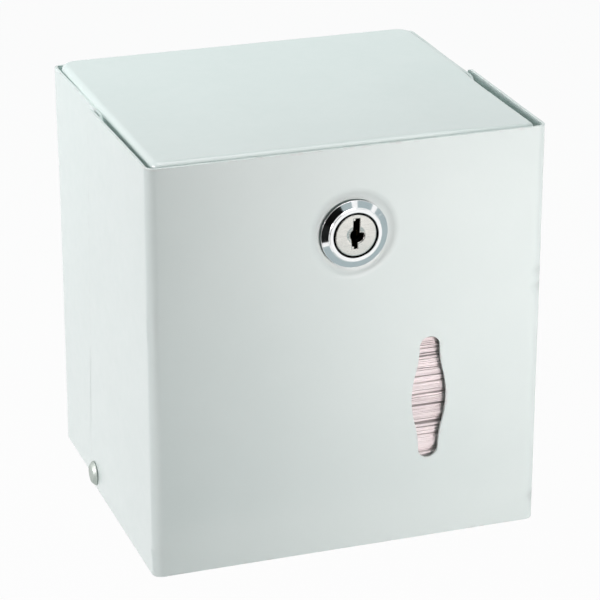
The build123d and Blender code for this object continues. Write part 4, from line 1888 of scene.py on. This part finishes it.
    def build(self, dresser: Dresser, finishes: Finishes) -> None:
        """Builds and dresses the lock.

        Args:
            dresser: Hands out finishes and bodies.
            finishes: The materials.
        """
        place, cover, core = lock_matrix(), Body.COVER, Body.LOCK_CORE
        chrome, nickel = (finishes.chrome, Slot.CHROME), (finishes.nickel, Slot.NICKEL)
        zinc, spring = (finishes.zinc, Slot.ZINC), (finishes.spring, Slot.ZINC)
        barrel = [self.bezel_shell(), self.thread_shell(), self.lug_shell()]
        made = (
            ("lock_body", barrel, chrome, cover, "lock_barrel"),
            ("key_plug", self.plug_shells(), nickel, core, "lock_plug"),
            ("stop_plate", [self.plate_shell()], zinc, core, "lock_stop_plate"),
            ("cam", [self.cam_shell()], zinc, core, "lock_cam"),
            ("spring_washer", [self.spring_shell()], spring, core, "cam_spring_washer"),
            ("cross_screw", self.screw_shells(), zinc, core, "cam_screw"),
            ("toothed_washer", [self.washer_shell()], zinc, cover, "lock_washer"),
            ("hexagon_nut", [self.nut_shell()], zinc, cover, "lock_nut"),
        )
        for name, shells, (finish, slot), body, node in made:
            piece = make_object(name, *[shell.placed(place) for shell in shells])
            dresser.dress(piece, finish, slot, body, node)
        wafers = WaferRow().build(finishes.brass)
        dresser.dress(wafers, finishes.brass, Slot.BRASS, core, "plug_wafers")


# Geometry Nodes


class NodeBuilder(Recipe):
    """Builds one Geometry Nodes tree with named inputs."""

    def __init__(self, name: str, sockets: dict) -> None:
        """Starts a tree.

        Args:
            name: Name of the tree.
            sockets: Kind of each named input.
        """
        super().__init__(bpy.data.node_groups.new(name, "GeometryNodeTree"))
        face = self.tree.interface
        for label, kind in {"Geometry": "Geometry", **sockets}.items():
            face.new_socket(label, in_out="INPUT", socket_type="NodeSocket" + kind)
        face.new_socket("Geometry", in_out="OUTPUT", socket_type="NodeSocketGeometry")
        self.inputs = self.tree.nodes.new("NodeGroupInput").outputs

    def line(self, count: NodeSocket, step: NodeSocket) -> NodeSocket:
        """Points from the tree's start on, each one step beyond the last."""
        values = {"Count": count, "Start Location": self.inputs["Start"], "Offset": step}
        return self.add("GeometryNodeMeshLine", values).outputs[0]

    def repeated(self, points: NodeSocket, source: NodeSocket) -> NodeSocket:
        """Copies of an object at the points."""
        shape = self.add("GeometryNodeObjectInfo", {"Object": source}).outputs["Geometry"]
        values = {"Points": points, "Instance": shape}
        return self.add("GeometryNodeInstanceOnPoints", values).outputs[0]

    def realized(self, copies: NodeSocket) -> NodeSocket:
        """Copies turned into plain mesh."""
        return self.add("GeometryNodeRealizeInstances", {"Geometry": copies}).outputs[0]

    def set_back(self, shape: NodeSocket, distance: NodeSocket) -> NodeSocket:
        """Points moved along Y."""
        values = {"Geometry": shape, "Offset": self.along("Y", distance)}
        return self.add("GeometryNodeSetPosition", values).outputs[0]

    def chance(self, index: NodeSocket, seed: NodeSocket) -> NodeSocket:
        """A random number from 0 to 1 for each index."""
        values = {"ID": index, "Seed": seed}
        return self.add("FunctionNodeRandomValue", values, data_type="FLOAT").outputs[1]

    def close(self, shape: NodeSocket, finish: Material) -> NodeTree:
        """Realizes what repeats, sets the finish and ends the tree.

        Args:
            shape: The geometry so far.
            finish: Material of the result.

        Returns:
            The finished tree.
        """
        values = {"Geometry": self.realized(shape), "Material": finish}
        painted = self.add("GeometryNodeSetMaterial", values).outputs[0]
        self.add("NodeGroupOutput", {0: painted})
        return self.tree


def run_nodes(name: str, tree: NodeTree, values: dict) -> Object:
    """Runs a tree once and keeps its result as a plain mesh.

    Args:
        name: Name of the finished object.
        tree: The tree.
        values: Value of each named input.

    Returns:
        The finished object.
    """
    holder = bpy.data.objects.new(name, bpy.data.meshes.new(name + "_start"))
    bpy.context.scene.collection.objects.link(holder)
    modifier = holder.modifiers.new("nodes", "NODES")
    modifier.node_group = tree
    given = [item for item in tree.interface.items_tree if item.in_out == "INPUT"]
    names = {item.name: item.identifier for item in given}
    for label, value in values.items():
        modifier[names[label]] = value
    bpy.context.view_layer.update()
    graph = bpy.context.evaluated_depsgraph_get()
    mesh = bpy.data.meshes.new_from_object(holder.evaluated_get(graph))
    mesh.name = name
    holder.modifiers.clear()
    holder.data = mesh
    return holder


# Paper


@dataclass
class PaperStack:
    """Interfolded tissue: thin folds with rounded noses, none quite in line with the next."""

    half_width: float = 58.0
    rear: float = -4.4
    front: float = -114.7
    clearance: float = 2.6
    nose: float = 1.15
    nose_length: float = 3.0
    low: float = -59.0
    high: float = 19.4
    layers: int = 190
    bundle: float = 4.9
    columns: int = 24
    scatter: float = 0.6
    hollow: float = 0.75
    stagger: float = 1.0
    sway: float = 0.7
    sway_scale: tuple = (28.0, 0.0, 520.0)
    short_fold: float = 4.5
    short_share: float = 0.4
    short_power: float = 1.8
    seed: int = 7

    @property
    def layer(self) -> float:
        """Height of one fold."""
        return (self.high - self.low) / self.layers

    def fold(self) -> Shell:
        """One fold: a thin slab with a rounded nose, its underside at 0 and its nose at 0."""
        half, middle = 0.52 * self.layer, self.layer / 2
        low, high = middle - half, middle + half
        depth, neck = self.rear - self.front - self.clearance, self.nose_length
        angles = np.linspace(-QUARTER, QUARTER, 7)
        nose = [(0.9 * half * (1 - math.cos(a)), middle + half * math.sin(a)) for a in angles]
        ring = np.array([(depth, low), (neck, low), *nose, (neck, high), (depth, high)])
        count = len(ring)
        across = np.linspace(-self.half_width, self.half_width, self.columns + 1)
        points = np.array([[x, y, z] for x in across for y, z in ring])
        slope = np.roll(ring, -1, axis=0) - np.roll(ring, 1, axis=0)
        flat = unit_rows(np.column_stack([np.zeros(count), slope[:, 1], -slope[:, 0]]))
        rings = np.arange(len(points)).reshape(-1, count)
        faces = [face for one, two in zip(rings[:-1], rings[1:]) for face in ring_faces(one, two)]
        faces += [rings[0][::-1].tolist(), rings[-1].tolist()]
        return Shell(points, faces, np.tile(flat, (len(across), 1)))

    def build(self, finish: Material) -> Object:
        """Stacks the folds.

        Args:
            finish: Material that the nodes set.

        Returns:
            The stack as one plain mesh.
        """
        piece = make_object("paper_fold", self.fold())
        given = {
            "Fold": ("Object", piece),
            "Layers": ("Int", self.layers),
            "Layer Height": ("Float", self.layer * MM),
            "Start": ("Vector", (0.0, (self.front - self.nose) * MM, self.low * MM)),
            "Bundle Layers": ("Float", self.bundle / self.layer),
            "Stagger": ("Float", self.stagger * MM),
            "Sway": ("Float", self.sway * MM),
            "Short Fold": ("Float", self.short_fold),
            "Seed": ("Int", self.seed),
        }
        make = NodeBuilder("stacked_folds", {name: kind for name, (kind, _) in given.items()})
        asked, maths, product = make.inputs, make.maths, make.product
        line = make.line(asked["Layers"], make.along("Z", asked["Layer Height"]))
        index = make.add("GeometryNodeInputIndex").outputs[0]
        within = maths("FRACT", maths("DIVIDE", maths("ADD", index, 0.5), asked["Bundle Layers"]))
        swell = maths("SINE", product(within, math.pi))
        back = product(make.chance(index, asked["Seed"]), self.scatter)
        back = maths("ADD", back, product(maths("SUBTRACT", 1.0, swell), self.hollow))
        rare = make.chance(index, maths("ADD", asked["Seed"], 5.0))
        short = maths("MAXIMUM", maths("SUBTRACT", rare, 1 - self.short_share), 0.0)
        short = maths("POWER", maths("DIVIDE", short, self.short_share), self.short_power)
        back = maths("ADD", back, product(short, asked["Short Fold"]))
        line = make.set_back(line, product(back, asked["Stagger"]))
        stack = make.realized(make.repeated(line, asked["Fold"]))
        place = make.add("GeometryNodeInputPosition").outputs[0]
        stretch = {0: place, 1: self.sway_scale}
        stretched = make.add("ShaderNodeVectorMath", stretch, operation="MULTIPLY").outputs[0]
        values = {"Vector": stretched, "Scale": 1.0, "Detail": 2.0}
        noise = make.add("ShaderNodeTexNoise", values).outputs[0]
        far, near = (self.front + self.clearance) * MM, (self.front - 0.2) * MM
        sway = product(product(noise, make.span(make.axis(place, 1), far, near)), asked["Sway"])
        tree = make.close(make.set_back(stack, sway), finish)
        made = run_nodes("tissue_stack", tree, {name: value for name, (_, value) in given.items()})
        bpy.data.objects.remove(piece)
        return made


# Studio


def upright(left: float, right: float, y: float, low: float, high: float) -> tuple:
    """The corners of a card that stands level with the front."""
    return (left, y, low), (right, y, low), (right, y, high), (left, y, high)


def lying(z: float, *corners: tuple) -> tuple:
    """The corners of a card that lies flat."""
    return tuple((x, y, z) for x, y in corners)


def hang_cards(name: str, cards: Sequence[tuple], material: Material, *unseen: str) -> None:
    """Makes one object of flat cards, or the floor, that belongs to the studio.

    Args:
        name: Name of the object.
        cards: Four corners of each card, in millimetres.
        material: Their finish.
        unseen: Kinds of ray that pass through them.
    """
    mesh = bpy.data.meshes.new(name)
    points = [tuple(c * MM for c in corner) for card in cards for corner in card]
    mesh.from_pydata(points, [], [tuple(range(4 * k, 4 * k + 4)) for k in range(len(cards))])
    mesh.materials.append(material)
    thing = bpy.data.objects.new(name, mesh)
    for ray in unseen:
        setattr(thing, "visible_" + ray, False)
    bpy.context.scene.collection.objects.link(thing)


@dataclass(frozen=True)
class SoftLamp:
    """A round soft lamp: place and size in millimetres, power in watts."""

    name: str
    place: tuple
    size: float
    power: float
    aim: tuple = (0.0, -60.0, 0.0)
    spread: float = 180.0
    colour: tuple = (1.0, 0.955, 0.968)
    mirrored: bool = True

    def build(self) -> None:
        """Hangs the lamp."""
        data = bpy.data.lights.new(self.name, "AREA")
        data.shape, data.size, data.energy = "DISK", self.size * MM, self.power
        data.color, data.spread = self.colour, math.radians(self.spread)
        lamp = bpy.data.objects.new(self.name, data)
        spot, aim = Vector(self.place) * MM, Vector(self.aim) * MM
        turn = (spot - aim).to_track_quat("Z", "Y").to_matrix().to_4x4()
        lamp.matrix_world = Matrix.Translation(spot) @ turn
        lamp.visible_camera, lamp.visible_glossy = False, self.mirrored
        bpy.context.scene.collection.objects.link(lamp)


@dataclass
class Studio:
    """White floor and surroundings, soft lamps and the camera."""

    azimuth: float = -19.3
    elevation: float = 21.95
    roll: float = 0.05
    distance: float = 870.0
    target: tuple = (-17.3, -118.0, 20.95)
    lens: float = 163.3
    floor_colour: tuple = (0.76, 0.76, 0.76, 1.0)
    floor_drop: float = 132.0
    floor_half: float = 12000.0
    floor_glow: float = 0.94
    floor_shine: float = 1.0
    ambient: float = 0.31
    lamps: tuple = (
        SoftLamp("left_lamp", (-1000, -20, 330), 420.0, 6.6, colour=(1.0, 0.895, 0.925)),
        SoftLamp("top_lamp", (-100, -60, 1300), 1100.0, 8.25, colour=(1.0, 0.895, 0.92)),
        SoftLamp("key_lamp", (-520, -760, 620), 160.0, 3.0, colour=(0.76, 1.0, 0.985)),
        SoftLamp(
            "front_lamp", (85, -460, 28), 160.0, 0.345, (85, 0, 22), 95.0, (1.0, 0.86, 0.88), False
        ),
    )
    ambient_tint: tuple = (0.78, 1.0, 0.975, 1.0)
    dark_cards: tuple = (
        upright(-1250, 60, -1500, -69, 900),
        lying(-69, (-1250, -1500), (-1250, -230), (-76, -230), (-76, -1500)),
        upright(-480, -90, -330, -69, 290),
    )
    # Cards that only mirrors see. Those lying on the floor are painted shade: they darken the floor
    # only where mirrors see it.
    mirrored_grey: tuple = (
        upright(60, 380, -1490, 20, 900),
        upright(580, 1180, -1490, 20, 900),
        upright(1400, 3200, -1490, -69, 600),
        lying(-69.5, (-60, -150), (-60, -288), (420, -470), (420, -150)),
        lying(-69.4, (300, -150), (300, -400), (1560, -1489), (1560, -150)),
    )
    # Painted shade: a dark floor patch that only mirrors see.
    mirrored_dark: tuple = (lying(-69.5, (-76, -345), (15, -345), (300, -1400), (-76, -1400)),)

    def camera(self) -> None:
        """Places the camera at the photograph's viewing angle."""
        turn, rise, roll = (math.radians(a) for a in (self.azimuth, self.elevation, self.roll))
        level = math.cos(rise)
        back = Vector((math.sin(turn) * level, -math.cos(turn) * level, math.sin(rise)))
        right = Vector((math.cos(turn), math.sin(turn), 0))
        up = back.cross(right)
        x_axis = math.cos(roll) * right + math.sin(roll) * up
        y_axis = -math.sin(roll) * right + math.cos(roll) * up
        place = Vector(self.target) * MM + back * self.distance * MM
        data = bpy.data.cameras.new("view_camera")
        data.sensor_fit, data.sensor_width, data.lens = "HORIZONTAL", 36.0, self.lens
        data.clip_start, data.clip_end = 0.05, 60.0
        camera = bpy.data.objects.new("view_camera", data)
        rows = [[x_axis[k], y_axis[k], back[k], place[k]] for k in range(3)]
        camera.matrix_world = Matrix(rows + [[0, 0, 0, 1]])
        bpy.context.scene.collection.objects.link(camera)
        bpy.context.scene.camera = camera

    def floor(self) -> None:
        """A wide pale floor, below the reach of the opened cover, that keeps the soft shadow."""
        material, mix = start_look("pale_floor")
        cloud = mix.noise(mix.coordinates(), 3.0, 3.0)
        matt = mix.surface({
            "Base Color": mix.mix(cloud, self.floor_colour, grey(0.74)),
            "Roughness": 0.9,
            "Specular IOR Level": 0.1,
        })
        glow = mix.add("ShaderNodeEmission", {"Color": grey(1.0), "Strength": 1.0}).outputs[0]
        seen, mirrored = mix.rays()
        seen, mirrored = mix.product(seen, self.floor_glow), mix.product(mirrored, self.floor_shine)
        values = {0: mix.maths("MAXIMUM", seen, mirrored), 1: matt, 2: glow}
        blend = mix.add("ShaderNodeMixShader", values).outputs[0]
        mix.settle("OUTPUT_MATERIAL", {"Surface": blend})
        half, low = self.floor_half, BOX.bottom - self.floor_drop
        corners = (-half, -half), (half, -half), (half, half), (-half, half)
        hang_cards("studio_floor", [lying(low, *corners)], material)

    def surroundings(self) -> None:
        """White to the camera and in reflections, gentler as light."""
        world = bpy.data.worlds.new("white_room")
        world.use_nodes = True
        bpy.context.scene.world = world
        mix = Looks(world.node_tree)
        white = mix.maths("MAXIMUM", *mix.rays())
        mix.settle("BACKGROUND", {
            "Color": mix.mix(white, self.ambient_tint, grey(1.0)),
            "Strength": mix.span(white, 0.0, 1.0, self.ambient, 1.0),
        })

    def dark(self, name: str, cards: tuple, level: float) -> None:
        """Hangs dark cards, unseen by the camera, that shade the lock and are mirrored in it.

        Args:
            name: Name of the cards.
            cards: Four corners of each card.
            level: How light the cards are.
        """
        material, mix = start_look(name)
        cloud = mix.noise(mix.coordinates(), 6.0)
        mix.surface({
            "Base Color": mix.mix(cloud, grey(level), grey(1.3 * level)),
            "Roughness": 0.95,
            "Specular IOR Level": 0.05,
        })
        hang_cards(name, cards, material, "camera")

    def mirrored(self, name: str, cards: tuple, colour: tuple) -> None:
        """Hangs cards that only mirrors see and that give no light.

        Args:
            name: Name of the cards.
            cards: Four corners of each card.
            colour: Their tone, which varies a little.
        """
        material, mix = start_look(name)
        cloud = mix.noise(mix.coordinates(), 6.0)
        darker = tuple(0.9 * c for c in colour[:3]) + (1.0,)
        glow = mix.add("ShaderNodeEmission", {"Color": mix.mix(cloud, colour, darker)}).outputs[0]
        mix.settle("OUTPUT_MATERIAL", {"Surface": glow})
        unseen = "camera", "diffuse", "transmission", "shadow", "volume_scatter"
        hang_cards(name, cards, material, *unseen)

    def build(self) -> None:
        """Builds the whole studio."""
        self.camera()
        self.floor()
        self.dark("dark_cards", self.dark_cards, 0.008)
        self.mirrored("mirrored_grey", self.mirrored_grey, (0.42, 0.50, 0.52, 1.0))
        self.mirrored("mirrored_dark", self.mirrored_dark, grey(0.04))
        self.surroundings()
        for lamp in self.lamps:
            lamp.build()
        bpy.context.scene.view_settings.view_transform = "Standard"


def dress_sheet_metal(dresser: Dresser, finishes: Finishes) -> None:
    """Builds and dresses the painted sheet steel.

    Args:
        dresser: Hands out finishes and bodies.
        finishes: The materials.
    """
    made = (
        ("cover_sheet", FrontCover(), Body.COVER, "front_cover"),
        ("housing_sheet", WallHousing(), Body.HOUSING, "wall_housing"),
        ("top_sheet", TopPlate(), Body.HOUSING, "top_plate"),
        ("tray_sheet", PaperTray(), Body.HOUSING, "paper_tray"),
        ("keeper_angle", LatchKeeper(), Body.HOUSING, "latch_keeper"),
    )
    for name, maker, body, node in made:
        dresser.dress(make_object(name, maker.build()), finishes.paint, Slot.PAINT, body, node)


def main() -> None:
    """Builds the dispenser and its studio."""
    logging.basicConfig(level=logging.INFO, format="%(message)s")
    Studio().build()
    finishes = Finishes.make()
    dresser = Dresser()
    dress_sheet_metal(dresser, finishes)
    for side in SIDES:
        Hinge(side).build(dresser, finishes)
    CamLock().build(dresser, finishes)
    paper = PaperStack().build(finishes.paper)
    dresser.dress(paper, finishes.paper, Slot.PAPER, Body.HOUSING, "paper_stack")
    LOG.info("%d pieces, %d faces in all", len(dresser.counts), sum(dresser.counts.values()))


if __name__ == "__main__":
    main()
